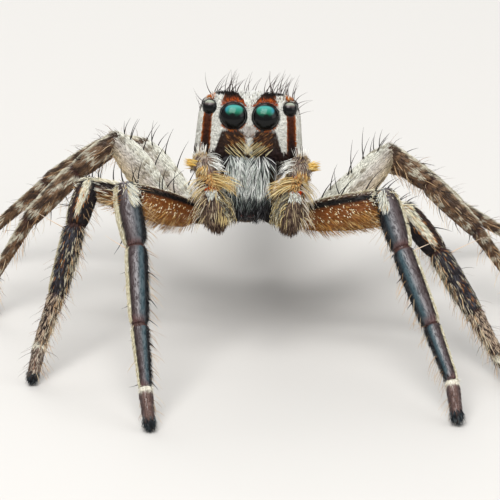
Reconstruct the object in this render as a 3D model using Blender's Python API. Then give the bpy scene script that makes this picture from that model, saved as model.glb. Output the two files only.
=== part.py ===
"""A male jumping spider at life size, standing with its head raised.

Metres, +Z up. The spider faces -Y and its right and left are named from the
front, so "right" pieces lie on +X. The origin is on the floor at the bottom
centre of the whole stance, just off the middle of the body. Every solid gives
the outline out to the tips of the short coat.
"""
import math

import bmesh
import bpy
from mathutils import Matrix, Vector

MM = 0.001
GAP = 0.02  # clearance at each thin cut between two solids, mm
COLLECTION = "jumping_spider"

# front body: the frame's origin is midway between the two big front eyes
HEAD_POINT = Vector((-0.227, -1.472, 5.94))
HEAD_PITCH = 22.0  # nose up, degrees
HEAD_ROLL = 2.0  # the +X side is lower, degrees

# abdomen: the frame's origin is its front end, +Y runs back
ABDOMEN_POINT = Vector((-0.227, 2.038, 3.40))
ABDOMEN_PITCH = 15.0
ABDOMEN_LENGTH = 4.6

# feet
TIP_HEIGHT = 0.12  # height of the leg's axis at its tip

# segment lengths, mm: femur, patella, tibia, metatarsus, tarsus
LENGTHS = {
    1: (2.50, 1.30, 2.00, 1.50, 1.00),
    2: (2.40, 1.25, 1.72, 1.35, 0.92),
    3: (2.60, 1.25, 1.65, 1.75, 0.90),
    4: (2.60, 1.10, 1.90, 2.15, 0.92),
}
# where each leg leaves its trochanter, in the head frame: sideways, back, up
HIPS = {
    1: (1.25, 0.75, -2.36),
    2: (1.50, 1.50, -2.30),
    3: (1.75, 2.30, -2.36),
    4: (1.40, 3.10, -2.30),
}
# the rear of the body is turned a little to +X
HIP_SHIFT = {1: 0.0, 2: 0.0, 3: 0.15, 4: 0.22}
# direction of each segment, degrees: turn forward from straight sideways, and
# rise above level. The last segment's rise comes from the floor.
POSES = {
    ("left", 1): ((44, 26), (108, -51), (94, -46), (101, -59), 100),
    ("right", 1): ((26, 19), (70, -42), (59, -48), (66, -41), 78),
    ("left", 2): ((-6, 12), (75, -27), (64, -55), (66, -44), 69),
    ("right", 2): ((7, 4), (43, -36), (46, -44), (57, -37), 46),
    ("left", 3): ((-46, 29), (14, -34), (19, -42), (27, -54), 44),
    ("right", 3): ((-48, 23), (8, -36), (27, -37), (17, -52), 41),
    ("left", 4): ((-56, 20), (-30, -7), (-15, -36), (5, -41), 11),
    ("right", 4): ((-44, 17), (-40, -24), (-34, -43), (-19, -35), 24),
}
# half sizes along each segment of leg 1, mm:
# (share of the length, towards the back of the leg, towards its belly, sideways)
FEMUR = ((-0.12, 0.17, 0.26, 0.24), (0.0, 0.22, 0.34, 0.28), (0.14, 0.32, 0.54, 0.33),
         (0.45, 0.38, 0.70, 0.37), (0.78, 0.36, 0.66, 0.37), (0.93, 0.28, 0.46, 0.34),
         (1.05, 0.18, 0.34, 0.31), (1.20, 0.10, 0.24, 0.26))
# the second legs are slighter near the knee, and the back of the hind femora is arched,
# the third legs' most
SECOND_FEMUR = FEMUR[:4] + ((0.78, 0.34, 0.50, 0.37), (0.93, 0.28, 0.38, 0.34),
                            (1.05, 0.18, 0.32, 0.31), (1.20, 0.10, 0.24, 0.26))
HIND_FEMUR = ((-0.12, 0.12, 0.26, 0.24), (0.0, 0.14, 0.34, 0.28), (0.14, 0.16, 0.50, 0.33),
              (0.28, 0.20, 0.58, 0.36), (0.45, 0.31, 0.60, 0.37), (0.62, 0.38, 0.57, 0.37),
              (0.80, 0.40, 0.50, 0.37), (0.94, 0.33, 0.42, 0.34), (1.05, 0.18, 0.34, 0.31),
              (1.20, 0.10, 0.24, 0.26))
LAST_FEMUR = ((-0.12, 0.12, 0.26, 0.24), (0.0, 0.18, 0.34, 0.28), (0.14, 0.26, 0.50, 0.33),
              (0.28, 0.30, 0.56, 0.36), (0.45, 0.36, 0.58, 0.37)) + HIND_FEMUR[5:]
FEMURS = {1: FEMUR, 2: SECOND_FEMUR, 3: HIND_FEMUR, 4: LAST_FEMUR}
PATELLA = ((-0.35, 0.10, 0.24, 0.26), (-0.02, 0.22, 0.29, 0.31), (0.3, 0.33, 0.32, 0.35),
           (0.6, 0.34, 0.32, 0.35), (0.88, 0.30, 0.30, 0.32), (1.1, 0.26, 0.27, 0.28))
TIBIA = ((-0.1, 0.26, 0.26, 0.26), (0.15, 0.30, 0.29, 0.29), (0.6, 0.29, 0.29, 0.28),
         (0.95, 0.26, 0.26, 0.26), (1.1, 0.25, 0.25, 0.25))
METATARSUS = ((-0.1, 0.25, 0.25, 0.25), (0.15, 0.26, 0.26, 0.26), (0.6, 0.25, 0.25, 0.25))
TARSUS = ((0.0, 0.245, 0.245, 0.245), (0.5, 0.25, 0.25, 0.25), (0.85, 0.25, 0.25, 0.25),
          (1.1, 0.20, 0.20, 0.22), (1.2, 0.10, 0.10, 0.12))
STOUT = {1: 1.0, 2: 0.92, 3: 0.92, 4: 0.92}  # thickness beside leg 1
SIDES = 10  # faces round a leg

# carapace stations: back, half width below, half width above, underside, top, squareness
CARAPACE = (
    (0.02, 1.08, 1.02, -0.90, 0.40, 5.0),
    (0.12, 1.22, 1.19, -0.97, 0.50, 6.0),
    (0.45, 1.30, 1.22, -1.00, 0.55, 6.5),
    (1.00, 1.35, 1.22, -1.18, 0.57, 6.5),
    (1.70, 1.39, 1.21, -1.28, 0.54, 5.5),
    (2.30, 1.41, 1.10, -1.30, 0.38, 4.0),
    (2.90, 1.32, 0.90, -1.30, 0.03, 3.2),
    (3.40, 1.12, 0.66, -1.28, -0.40, 2.8),
    (3.75, 0.80, 0.44, -1.26, -0.78, 2.5),
    (3.90, 0.48, 0.28, -1.22, -0.98, 2.4),
)

# eyes: sideways, back, up, radius, turn outward, turn up, dome height
EYES = {
    "anterior_median": (0.391, 0.02, 0.0, 0.345, 4, 0, 0.27),
    "anterior_lateral": (0.975, 0.10, 0.185, 0.175, 22, 4, 0.15),
    "posterior_median": (1.120, 0.95, 0.33, 0.060, 62, 24, 0.05),
    "posterior_lateral": (1.070, 1.72, 0.36, 0.165, 66, 26, 0.13),
}
SOCKET = 0.22  # depth of the socket behind the lens rim

# feelers, head frame, mm: knee, end of the second piece, tip
FEELERS = {
    "left": ((-1.12, -0.34, -1.08), (-0.92, -0.60, -1.74), (-0.63, -0.60, -2.72)),
    "right": ((1.28, -0.34, -1.08), (1.25, -0.60, -1.74), (0.99, -0.60, -2.72)),
}
FEELER_ROOT = (0.74, 0.16, -2.12)
FEELER_TOP = 0.24  # how far the second piece rises over the knee


def clear_scene():
    for thing in list(bpy.data.objects):
        bpy.data.objects.remove(thing, do_unlink=True)


def material(name, colour, roughness, metallic=0.0):
    made = bpy.data.materials.new(name)
    made.use_nodes = True
    shader = made.node_tree.nodes["Principled BSDF"]
    shader.inputs["Base Color"].default_value = (*colour, 1.0)
    shader.inputs["Roughness"].default_value = roughness
    shader.inputs["Metallic"].default_value = metallic
    return made


def turn(x=0.0, y=0.0, z=0.0):
    return (Matrix.Rotation(math.radians(z), 4, "Z")
            @ Matrix.Rotation(math.radians(y), 4, "Y")
            @ Matrix.Rotation(math.radians(x), 4, "X"))


def head_frame():
    return Matrix.Translation(HEAD_POINT) @ turn(x=-HEAD_PITCH) @ turn(y=HEAD_ROLL)


def abdomen_frame():
    return Matrix.Translation(ABDOMEN_POINT) @ turn(x=-ABDOMEN_PITCH)


def frame_along(start, ahead, back):
    """A frame at start whose +Y runs ahead and whose +Z lies as near to back as it can."""
    ahead = ahead.normalized()
    side = ahead.cross(back).normalized()
    up = side.cross(ahead)
    spin = Matrix((side, ahead, up)).transposed().to_4x4()
    return Matrix.Translation(start) @ spin


def add(bm, name, matter, frame, smooth_below=40.0):
    """The finished mesh as one named object, placed by its frame. Sizes are in mm until here."""
    bmesh.ops.recalc_face_normals(bm, faces=bm.faces)
    bmesh.ops.scale(bm, vec=(MM, MM, MM), verts=bm.verts)
    mesh = bpy.data.meshes.new(name)
    bm.to_mesh(mesh)
    bm.free()
    mesh.polygons.foreach_set("use_smooth", [True] * len(mesh.polygons))
    mesh.set_sharp_from_angle(angle=math.radians(smooth_below))
    mesh.materials.append(matter)
    made = bpy.data.objects.new(name, mesh)
    bpy.data.collections[COLLECTION].objects.link(made)
    made.matrix_world = Matrix.Translation(frame.to_translation() * MM) @ frame.to_3x3().to_4x4()
    return made


def loft(rings):
    """A closed tube through rings of equal count, with a flat end on each."""
    bm = bmesh.new()
    rows = [[bm.verts.new(p) for p in ring] for ring in rings]
    count = len(rows[0])
    for low, high in zip(rows, rows[1:]):
        for i in range(count):
            j = (i + 1) % count
            bm.faces.new((low[i], low[j], high[j], high[i]))
    bm.faces.new(rows[0])
    bm.faces.new(rows[-1])
    bmesh.ops.recalc_face_normals(bm, faces=bm.faces)
    return bm


def trim(bm, point, normal):
    """Cuts away what lies beyond the plane on the side of its normal, and closes the cut."""
    geometry = bm.verts[:] + bm.edges[:] + bm.faces[:]
    bmesh.ops.bisect_plane(bm, geom=geometry, dist=1e-6, plane_co=point, plane_no=normal,
                           clear_outer=True)
    rim = [e for e in bm.edges if e.is_boundary]
    if rim:
        bmesh.ops.holes_fill(bm, edges=rim)


def oval(y, back, belly, side, count=SIDES, lift=0.0, shift=0.0):
    """One ring across +Y, deeper towards the belly than the back where they differ."""
    ring = []
    for i in range(count):
        a = 2 * math.pi * (i + 0.5) / count
        rise = math.sin(a)
        ring.append(Vector((shift + side * math.cos(a), y,
                            lift + rise * (back if rise > 0 else belly))))
    return ring


def direction(side, forward, rise):
    flat = math.cos(math.radians(rise))
    return Vector((side * flat * math.cos(math.radians(forward)),
                   -flat * math.sin(math.radians(forward)),
                   math.sin(math.radians(rise))))


def leg_points(which, number):
    """The leg's joints from trochanter to tip, world mm."""
    side = 1 if which == "right" else -1
    x, y, z = HIPS[number]
    points = [head_frame() @ Vector((side * x + HIP_SHIFT[number], y, z))]
    pose = POSES[which, number]
    lengths = LENGTHS[number]
    for (forward, rise), length in zip(pose[:4], lengths[:4]):
        points.append(points[-1] + direction(side, forward, rise) * length)
    fall = max(-0.999, min(0.0, (TIP_HEIGHT - points[-1].z) / lengths[4]))
    points.append(points[-1] + direction(side, pose[4], math.degrees(math.asin(fall)))
                  * lengths[4])
    return points


def bend_plane(before, at, after):
    """The plane that halves the bend at a joint; its normal runs from before to after."""
    return at, ((at - before).normalized() + (after - at).normalized()).normalized()


def tube(profile, length, scale=1.0, start=0.0):
    return [oval(start + share * length, back * scale, belly * scale, side * scale)
            for share, back, belly, side in profile]


def segment(name, matter, frame, rings, start_plane=None, end_plane=None, floor=False):
    bm = loft(rings)
    into = frame.inverted()
    for plane, sign in ((start_plane, -1), (end_plane, 1)):
        if plane is None:
            continue
        point, normal = plane
        normal = normal * sign
        trim(bm, into @ (point - normal * GAP / 2), into.to_3x3() @ normal)
    if floor:
        trim(bm, into @ Vector((0, 0, 0)), into.to_3x3() @ Vector((0, 0, -1)))
    return add(bm, name, matter, frame)


def build_leg(which, number, paint):
    side = 1 if which == "right" else -1
    name = f"leg{number}_{which}"
    hip, knee, shin, ankle, heel, tip = points = leg_points(which, number)
    lengths = LENGTHS[number]
    stout = STOUT[number]
    across = (knee - hip).cross(heel - knee).normalized()

    def back_of(ahead):
        out = across.cross(ahead).normalized()
        return out if out.z > 0 or abs(out.z) < 0.2 and out.y > 0 else -out

    # coxa and trochanter: from the breastplate out to the first femur ring
    inner = head_frame() @ Vector((side * 0.545, HIPS[number][1], HIPS[number][2] + 0.20))
    ahead = hip - inner
    frame = frame_along(inner, ahead, head_frame().to_3x3() @ Vector((0, 0, 1)))
    reach = ahead.length
    rings = [oval(-0.2, 0.34, 0.34, 0.34), oval(0.25 * reach, 0.36, 0.36, 0.355),
             oval(0.7 * reach, 0.32, 0.34, 0.34), oval(reach + 0.05, 0.24, 0.30, 0.29),
             oval(reach + 0.3, 0.15, 0.18, 0.18)]
    wall = (inner, head_frame().to_3x3() @ Vector((side, 0, 0)))
    hip_plane = bend_plane(inner, hip, knee)
    segment(f"{name}_coxa", paint["coxa"], frame, rings, wall, hip_plane)

    colours = paint[number]
    planes = [hip_plane] + [bend_plane(*points[i:i + 3]) for i in range(3)]
    for i, (label, profile) in enumerate((("femur", FEMURS[number]), ("patella", PATELLA),
                                          ("tibia", TIBIA))):
        ahead = points[i + 1] - points[i]
        segment(f"{name}_{label}", colours[label],
                frame_along(points[i], ahead, back_of(ahead)),
                tube(profile, lengths[i], stout), planes[i], planes[i + 1])

    # foot: metatarsus and tarsus in one, bent at the heel, with its flat on the floor
    frame = frame_along(ankle, heel - ankle, back_of(heel - ankle))
    rings = tube(METATARSUS, lengths[3])
    into = frame.inverted()
    bent = frame_along(heel, tip - heel, back_of(tip - heel))
    for ring in tube(TARSUS, lengths[4]):
        rings.append([into @ (bent @ p) for p in ring])
    segment(f"{name}_foot", colours["foot"], frame, rings, planes[3], None, floor=True)


def lens(radius, dome, sides):
    """A round plug with a domed front, facing -Y, its rim at y = 0."""
    rings = [oval(SOCKET * 0.9, radius * 0.96, radius * 0.96, radius * 0.96, sides)]
    for angle in (0, 30, 56, 78):
        a = math.radians(angle)
        r = radius * math.cos(a)
        rings.append(oval(-dome * math.sin(a), r, r, r, sides))
    return loft(rings)


def eye_frame(which, kind):
    side = 1 if which == "right" else -1
    x, y, z, _, out, up, _ = EYES[kind]
    return (head_frame() @ Matrix.Translation((side * x, y, z))
            @ turn(z=side * out) @ turn(x=-up))


def carapace_ring(y, low_half, high_half, under, top, square, arch=19, base=5):
    ring = []
    for i in range(arch):
        a = math.pi * i / (arch - 1)
        up = math.sin(a) ** (2 / square)
        across = math.copysign(abs(math.cos(a)) ** (2 / square), math.cos(a))
        half = low_half + (high_half - low_half) * up
        ring.append(Vector((half * across, y, under + (top - under) * up)))
    for i in range(1, base):
        ring.append(Vector((low_half * (2 * i / base - 1), y, under - 0.02)))
    return ring


def build_carapace(paint):
    frame = head_frame()
    bm = loft([carapace_ring(*station) for station in CARAPACE])
    body = add(bm, "carapace", paint, frame)
    cutters = bpy.data.collections.new("cutters")
    bpy.context.scene.collection.children.link(cutters)
    for which in ("left", "right"):
        for kind, (_, _, _, radius, _, _, _) in EYES.items():
            sides = 20 if radius > 0.3 else 12
            hole = radius + GAP
            rings = [oval(SOCKET, hole, hole, hole, sides), oval(-0.6, hole, hole, hole, sides)]
            cutter = add(loft(rings), f"socket_{which}_{kind}", paint, eye_frame(which, kind))
            bpy.data.collections[COLLECTION].objects.unlink(cutter)
            cutters.objects.link(cutter)
            cutter.hide_render = True
            cutter.display_type = "WIRE"
            cut = body.modifiers.new(cutter.name, "BOOLEAN")
            cut.operation = "DIFFERENCE"
            cut.solver = "EXACT"
            cut.object = cutter


def build_feeler(which, paint, tip_paint):
    side = 1 if which == "right" else -1
    frame = head_frame()
    knee, middle, tip = (Vector(p) for p in FEELERS[which])
    root = Vector((side * FEELER_ROOT[0], FEELER_ROOT[1], FEELER_ROOT[2]))
    front = Vector((0, -1, 0))
    # second piece: knee cap and shin, hanging
    top = knee + Vector((0, 0, FEELER_TOP))
    hang = frame_along(top, middle - top, front)
    reach = (middle - top).length
    rings = [oval(-0.02, 0.10, 0.10, 0.10, 12), oval(0.08, 0.20, 0.20, 0.20, 12),
             oval(0.26, 0.28, 0.26, 0.29, 12), oval(0.6, 0.29, 0.26, 0.32, 12),
             oval(reach, 0.28, 0.25, 0.34, 12), oval(reach + 0.2, 0.26, 0.24, 0.33, 12)]
    bm = loft(rings)
    _, normal = bend_plane(top, middle, tip)
    into = hang.inverted()
    trim(bm, into @ (middle - normal * GAP / 2), into.to_3x3() @ normal)
    shin = add(bm, f"feeler_{which}", paint, frame @ hang)
    # first piece: the rising arm behind it
    rise = frame_along(root, knee - root, front)
    reach = (knee - root).length
    rings = [oval(0.0, 0.14, 0.14, 0.14), oval(0.2, 0.19, 0.19, 0.19),
             oval(0.8 * reach, 0.20, 0.20, 0.20), oval(reach + 0.05, 0.15, 0.15, 0.15)]
    arm = add(loft(rings), f"feeler_arm_{which}", paint, frame @ rise)
    bpy.data.collections[COLLECTION].objects.unlink(arm)
    bpy.data.collections["cutters"].objects.link(arm)
    arm.hide_render = True
    arm.display_type = "WIRE"
    join = shin.modifiers.new("arm", "BOOLEAN")
    join.operation = "UNION"
    join.solver = "EXACT"
    join.object = arm
    # tip: the broad last segment
    down = frame_along(middle, tip - middle, front)
    reach = (tip - middle).length
    rings = [oval(-0.2, 0.24, 0.22, 0.32, 12), oval(0.1, 0.31, 0.27, 0.42, 12),
             oval(0.35 * reach, 0.36, 0.29, 0.49, 12), oval(0.65 * reach, 0.35, 0.29, 0.48, 12),
             oval(0.9 * reach, 0.27, 0.23, 0.36, 12), oval(1.07 * reach, 0.14, 0.13, 0.20, 12)]
    bm = loft(rings)
    into = down.inverted()
    trim(bm, into @ (middle + normal * GAP / 2), into.to_3x3() @ -normal)
    add(bm, f"feeler_tip_{which}", tip_paint, frame @ down)


def build_jaw(which, paint):
    side = 1 if which == "right" else -1
    rows = ((-1.03, 0.31, 0.10, 0.30, 0.29), (-1.25, 0.34, 0.08, 0.35, 0.325),
            (-1.60, 0.335, 0.06, 0.36, 0.32), (-1.95, 0.31, 0.04, 0.33, 0.295),
            (-2.22, 0.27, 0.03, 0.28, 0.255), (-2.38, 0.24, 0.03, 0.22, 0.215),
            (-2.45, 0.21, 0.03, 0.13, 0.15))
    rings = []
    for z, x, y, deep, wide in rows:
        ring = []
        for i in range(12):
            a = 2 * math.pi * (i + 0.5) / 12
            ring.append(Vector((side * x + wide * math.cos(a), y + deep * math.sin(a), z)))
        rings.append(ring)
    add(loft(rings), f"chelicera_{which}", paint, head_frame())


def build_breastplate(paint):
    rows = ((0.42, 0.30, -2.42, -1.95), (0.55, 0.46, -2.52, -1.60), (0.95, 0.50, -2.56, -1.40),
            (1.6, 0.51, -2.56, -1.36), (2.4, 0.50, -2.54, -1.36), (3.1, 0.44, -2.48, -1.36),
            (3.55, 0.26, -2.34, -1.50))
    rings = []
    for y, half, low, high in rows:
        middle = (low + high) / 2
        tall = (high - low) / 2
        ring = []
        for i in range(12):
            a = 2 * math.pi * (i + 0.5) / 12
            across = math.copysign(abs(math.cos(a)) ** 0.6, math.cos(a))
            rise = math.copysign(abs(math.sin(a)) ** 0.6, math.sin(a))
            ring.append(Vector((half * across, y, middle + tall * rise)))
        rings.append(ring)
    add(loft(rings), "sternum", paint, head_frame())


def build_abdomen(paint):
    """An egg that is fuller above and behind the middle, with blunt ends."""
    rings = []
    steps = 12
    for i in range(steps + 1):
        a = math.pi * i / steps
        along = (1 - math.cos(a)) / 2
        full = max(math.sin(a), 0.10) ** 0.82
        y = ABDOMEN_LENGTH * along
        back = 1.02 * full
        belly = 0.98 * full
        side = 1.20 * full * (1.0 - 0.10 * along)
        rings.append(oval(y, back, belly, side, 20, lift=0.10 * math.sin(a)))
    add(loft(rings), "abdomen", paint, abdomen_frame())


def build_waist(paint):
    start = head_frame() @ Vector((0, 3.93, -1.16))
    end = ABDOMEN_POINT - (abdomen_frame().to_3x3() @ Vector((0, GAP, 0)))
    ahead = end - start
    reach = ahead.length
    rings = [oval(0.0, 0.17, 0.17, 0.20, 10), oval(reach * 0.5, 0.17, 0.17, 0.19, 10),
             oval(reach, 0.13, 0.13, 0.15, 10)]
    frame = frame_along(start, ahead, Vector((0, 0, 1)))
    bm = loft(rings)
    add(bm, "pedicel", paint, frame)


def build_spinnerets(paint):
    """A short collar with two upper and two lower cones, all in one piece."""
    frame = abdomen_frame() @ Matrix.Translation((0, ABDOMEN_LENGTH + GAP, -0.02))
    rings = [oval(0.0, 0.24, 0.24, 0.26, 12), oval(0.16, 0.22, 0.22, 0.25, 12)]
    collar = add(loft(rings), "spinnerets", paint, frame)
    for k, (x, z, tilt, size) in enumerate(((-0.12, 0.09, 8, 0.09), (0.12, 0.09, 8, 0.09),
                                            (-0.11, -0.11, -6, 0.10), (0.11, -0.11, -6, 0.10))):
        rings = [oval(-0.06, size, size, size, 8), oval(0.22, size, size, size, 8),
                 oval(0.38, size * 0.45, size * 0.45, size * 0.45, 8)]
        spin = frame @ Matrix.Translation((x, 0.10, z)) @ turn(x=tilt, z=-60 * x)
        cone = add(loft(rings), f"spinneret_{k}", paint, spin)
        bpy.data.collections[COLLECTION].objects.unlink(cone)
        bpy.data.collections["cutters"].objects.link(cone)
        cone.hide_render = True
        cone.display_type = "WIRE"
        join = collar.modifiers.new(cone.name, "BOOLEAN")
        join.operation = "UNION"
        join.solver = "EXACT"
        join.object = cone


def main():
    clear_scene()
    home = bpy.data.collections.new(COLLECTION)
    bpy.context.scene.collection.children.link(home)

    shell = material("carapace_coat", (0.30, 0.27, 0.24), 0.70)
    under = material("underside", (0.24, 0.16, 0.09), 0.60)
    eye = material("eye_glass", (0.01, 0.02, 0.02), 0.08)
    jaw = material("jaw_hair", (0.42, 0.41, 0.37), 0.60)
    feeler = material("feeler_hair", (0.45, 0.32, 0.16), 0.70)
    feeler_tip = material("feeler_tip_hair", (0.33, 0.27, 0.19), 0.70)
    belly = material("abdomen_coat", (0.34, 0.29, 0.22), 0.75)
    femur = material("front_femur", (0.19, 0.10, 0.05), 0.50)
    slate = material("front_leg", (0.055, 0.06, 0.075), 0.40)
    foot = material("front_foot", (0.10, 0.09, 0.09), 0.50)
    second = material("second_leg", (0.17, 0.15, 0.13), 0.55)
    pale = material("hind_femur", (0.50, 0.46, 0.41), 0.65)
    mottled = material("hind_leg", (0.26, 0.21, 0.16), 0.65)
    paint = {
        "coxa": under,
        1: {"femur": femur, "patella": slate, "tibia": slate, "foot": foot},
        2: {"femur": femur, "patella": second, "tibia": second, "foot": second},
        3: {"femur": pale, "patella": mottled, "tibia": mottled, "foot": mottled},
        4: {"femur": pale, "patella": mottled, "tibia": mottled, "foot": mottled},
    }

    build_carapace(shell)
    for which in ("left", "right"):
        for kind, (_, _, _, radius, _, _, dome) in EYES.items():
            sides = 20 if radius > 0.3 else 12
            add(lens(radius, dome, sides), f"eye_{kind}_{which}", eye, eye_frame(which, kind))
    for which in ("left", "right"):
        build_jaw(which, jaw)
        build_feeler(which, feeler, feeler_tip)
        for number in (1, 2, 3, 4):
            build_leg(which, number, paint)
    build_breastplate(under)
    build_waist(under)
    build_abdomen(belly)
    build_spinnerets(under)


main()
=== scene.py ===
"""Looks of the male jumping spider: skin, eyes, jaws, claws, coat and bristles.

Sizes are in mm until a mesh is made. "left" and "right" are named from the front,
so right is +X. The head frame has its origin between the two big front eyes, with
+X to the right, +Y back and +Z up.
"""

import math

import bpy
import numpy as np
from mathutils import Matrix


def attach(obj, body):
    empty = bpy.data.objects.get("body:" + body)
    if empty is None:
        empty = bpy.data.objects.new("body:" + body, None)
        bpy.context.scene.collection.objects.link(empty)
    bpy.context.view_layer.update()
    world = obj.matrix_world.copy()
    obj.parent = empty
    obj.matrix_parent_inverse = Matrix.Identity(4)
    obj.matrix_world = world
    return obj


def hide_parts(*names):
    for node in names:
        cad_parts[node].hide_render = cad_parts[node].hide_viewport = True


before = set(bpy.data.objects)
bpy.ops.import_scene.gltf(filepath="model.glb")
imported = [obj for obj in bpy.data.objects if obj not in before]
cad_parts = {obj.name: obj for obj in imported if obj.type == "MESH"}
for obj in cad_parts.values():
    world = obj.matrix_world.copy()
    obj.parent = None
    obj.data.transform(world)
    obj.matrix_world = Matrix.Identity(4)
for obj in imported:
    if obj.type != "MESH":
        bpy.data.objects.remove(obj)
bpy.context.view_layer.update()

MM = 0.001
rng = np.random.default_rng(11)

HEAD_POINT = np.array((-0.227, -1.472, 5.94))
HEAD_PITCH = 22.0
HEAD_ROLL = 2.0
ABDOMEN_POINT = np.array((-0.227, 2.038, 3.40))
ABDOMEN_PITCH = 15.0
ABDOMEN_LENGTH = 4.6
TIP_HEIGHT = 0.12
FLOOR_GAP = 0.002  # nothing comes nearer the floor than this
SOLE_HEIGHT = 0.004  # lowest skin of a foot
LOWEST_HAIR = 0.02  # no root of a leg's coat is lower
LENGTHS = {
    1: (2.50, 1.30, 2.00, 1.50, 1.00),
    2: (2.40, 1.25, 1.72, 1.35, 0.92),
    3: (2.60, 1.25, 1.65, 1.75, 0.90),
    4: (2.60, 1.10, 1.90, 2.15, 0.92),
}
HIPS = {
    1: (1.25, 0.75, -2.36),
    2: (1.50, 1.50, -2.30),
    3: (1.75, 2.30, -2.36),
    4: (1.40, 3.10, -2.30),
}
HIP_SHIFT = {1: 0.0, 2: 0.0, 3: 0.15, 4: 0.22}
POSES = {
    ("left", 1): ((44, 26), (108, -51), (94, -46), (101, -59), 100),
    ("right", 1): ((26, 19), (70, -42), (59, -48), (66, -41), 78),
    ("left", 2): ((-6, 12), (75, -27), (64, -55), (66, -44), 69),
    ("right", 2): ((7, 4), (43, -36), (46, -44), (57, -37), 46),
    ("left", 3): ((-46, 29), (14, -34), (19, -42), (27, -54), 44),
    ("right", 3): ((-48, 23), (8, -36), (27, -37), (17, -52), 41),
    ("left", 4): ((-56, 20), (-30, -7), (-15, -36), (5, -41), 11),
    ("right", 4): ((-44, 17), (-40, -24), (-34, -43), (-19, -35), 24),
}
SIDES = ("left", "right")
LEGS = [(which, number) for which in SIDES for number in (1, 2, 3, 4)]
SEGMENTS = ("femur", "patella", "tibia", "metatarsus", "tarsus")


# ---------------------------------------------------------------- small maths

def unit(v):
    v = np.asarray(v, float)
    return v / np.maximum(np.linalg.norm(v, axis=-1, keepdims=True), 1e-9)


def spin(axis, degrees):
    a = math.radians(degrees)
    c, s = math.cos(a), math.sin(a)
    return np.array({
        "x": ((1, 0, 0), (0, c, -s), (0, s, c)),
        "y": ((c, 0, s), (0, 1, 0), (-s, 0, c)),
        "z": ((c, -s, 0), (s, c, 0), (0, 0, 1)),
    }[axis])


def ramp(low, high, x):
    t = np.clip((np.asarray(x, float) - low) / (high - low), 0, 1)
    return t * t * (3 - 2 * t)


def band(x, low, high, soft):
    """1 between low and high, with soft edges."""
    return ramp(low - soft, low + soft, x) * fade(high - soft, high + soft, x)


def linear(colour):
    """A colour given as it is seen, 0 to 255, made linear. An array is linear already."""
    if isinstance(colour, np.ndarray):
        return colour
    c = np.array(colour) / 255.0
    return np.where(c <= 0.04045, c / 12.92, ((c + 0.055) / 1.055) ** 2.4)


def fade(low, high, x):
    """1 below low, 0 above high."""
    return 1 - ramp(low, high, x)


def lay(base, colour, share):
    """Colour laid over a base by a share for each point."""
    return base + (linear(colour) - base) * np.asarray(share)[:, None]


def layers(base, *laid):
    """Colours laid over a base one after another: pairs of colour and share."""
    for colour, share in laid:
        base = lay(base, colour, share)
    return base


def flat(r, colour):
    """The same colour at every root."""
    return np.repeat(linear(colour)[None], len(r), 0)


def side_of(which):
    return 1 if which == "right" else -1


def turns(count):
    """Angles spaced evenly round a circle."""
    return 2 * math.pi * np.arange(count) / count


def shades(x, stops):
    """Colours that change along x, from stops of (x, colour)."""
    at = [s[0] for s in stops]
    tones = np.array([linear(s[1]) for s in stops])
    return np.stack([np.interp(x, at, tones[:, k]) for k in range(3)], 1)


def spline(rows, count):
    """Smooth rows between the given ones, by Catmull and Rom's curve."""
    rows = np.asarray(rows, float)
    padded = np.vstack((2 * rows[0] - rows[1], rows, 2 * rows[-1] - rows[-2]))
    at = np.linspace(0, len(rows) - 1, count)
    i = np.minimum(at.astype(int), len(rows) - 2)
    t = (at - i)[:, None]
    a, b, c, d = (padded[i + k] for k in range(4))
    return 0.5 * (2 * b + (c - a) * t + (2 * a - 5 * b + 4 * c - d) * t * t
                  + (3 * b - a - 3 * c + d) * t ** 3)


class Place:
    """A frame: columns of turn are its X, Y and Z in the world."""

    def __init__(self, origin, turn):
        self.origin = np.asarray(origin, float)
        self.turn = np.asarray(turn, float)

    def out(self, p):
        return np.asarray(p) @ self.turn.T + self.origin

    def aim(self, v):
        return np.asarray(v) @ self.turn.T

    def into(self, p):
        return (np.asarray(p) - self.origin) @ self.turn

    def aim_into(self, v):
        return np.asarray(v) @ self.turn


HEAD = Place(HEAD_POINT, spin("x", -HEAD_PITCH) @ spin("y", HEAD_ROLL))
ABDOMEN = Place(ABDOMEN_POINT, spin("x", -ABDOMEN_PITCH))


def place_along(start, ahead, back):
    ahead = unit(ahead)
    side = unit(np.cross(ahead, back))
    return Place(start, np.stack((side, ahead, np.cross(side, ahead)), axis=1))


def direction(side, forward, rise):
    f, r = math.radians(forward), math.radians(rise)
    return np.array((side * math.cos(r) * math.cos(f), -math.cos(r) * math.sin(f), math.sin(r)))


def leg_points(which, number):
    side = side_of(which)
    x, y, z = HIPS[number]
    points = [HEAD.out((side * x + HIP_SHIFT[number], y, z))]
    pose, lengths = POSES[which, number], LENGTHS[number]
    for (forward, rise), length in zip(pose[:4], lengths[:4]):
        points.append(points[-1] + direction(side, forward, rise) * length)
    fall = max(-0.999, min(0.0, (TIP_HEIGHT - points[-1][2]) / lengths[4]))
    points.append(points[-1]
                  + direction(side, pose[4], math.degrees(math.asin(fall))) * lengths[4])
    return points


# ---------------------------------------------------------------- surfaces

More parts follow.
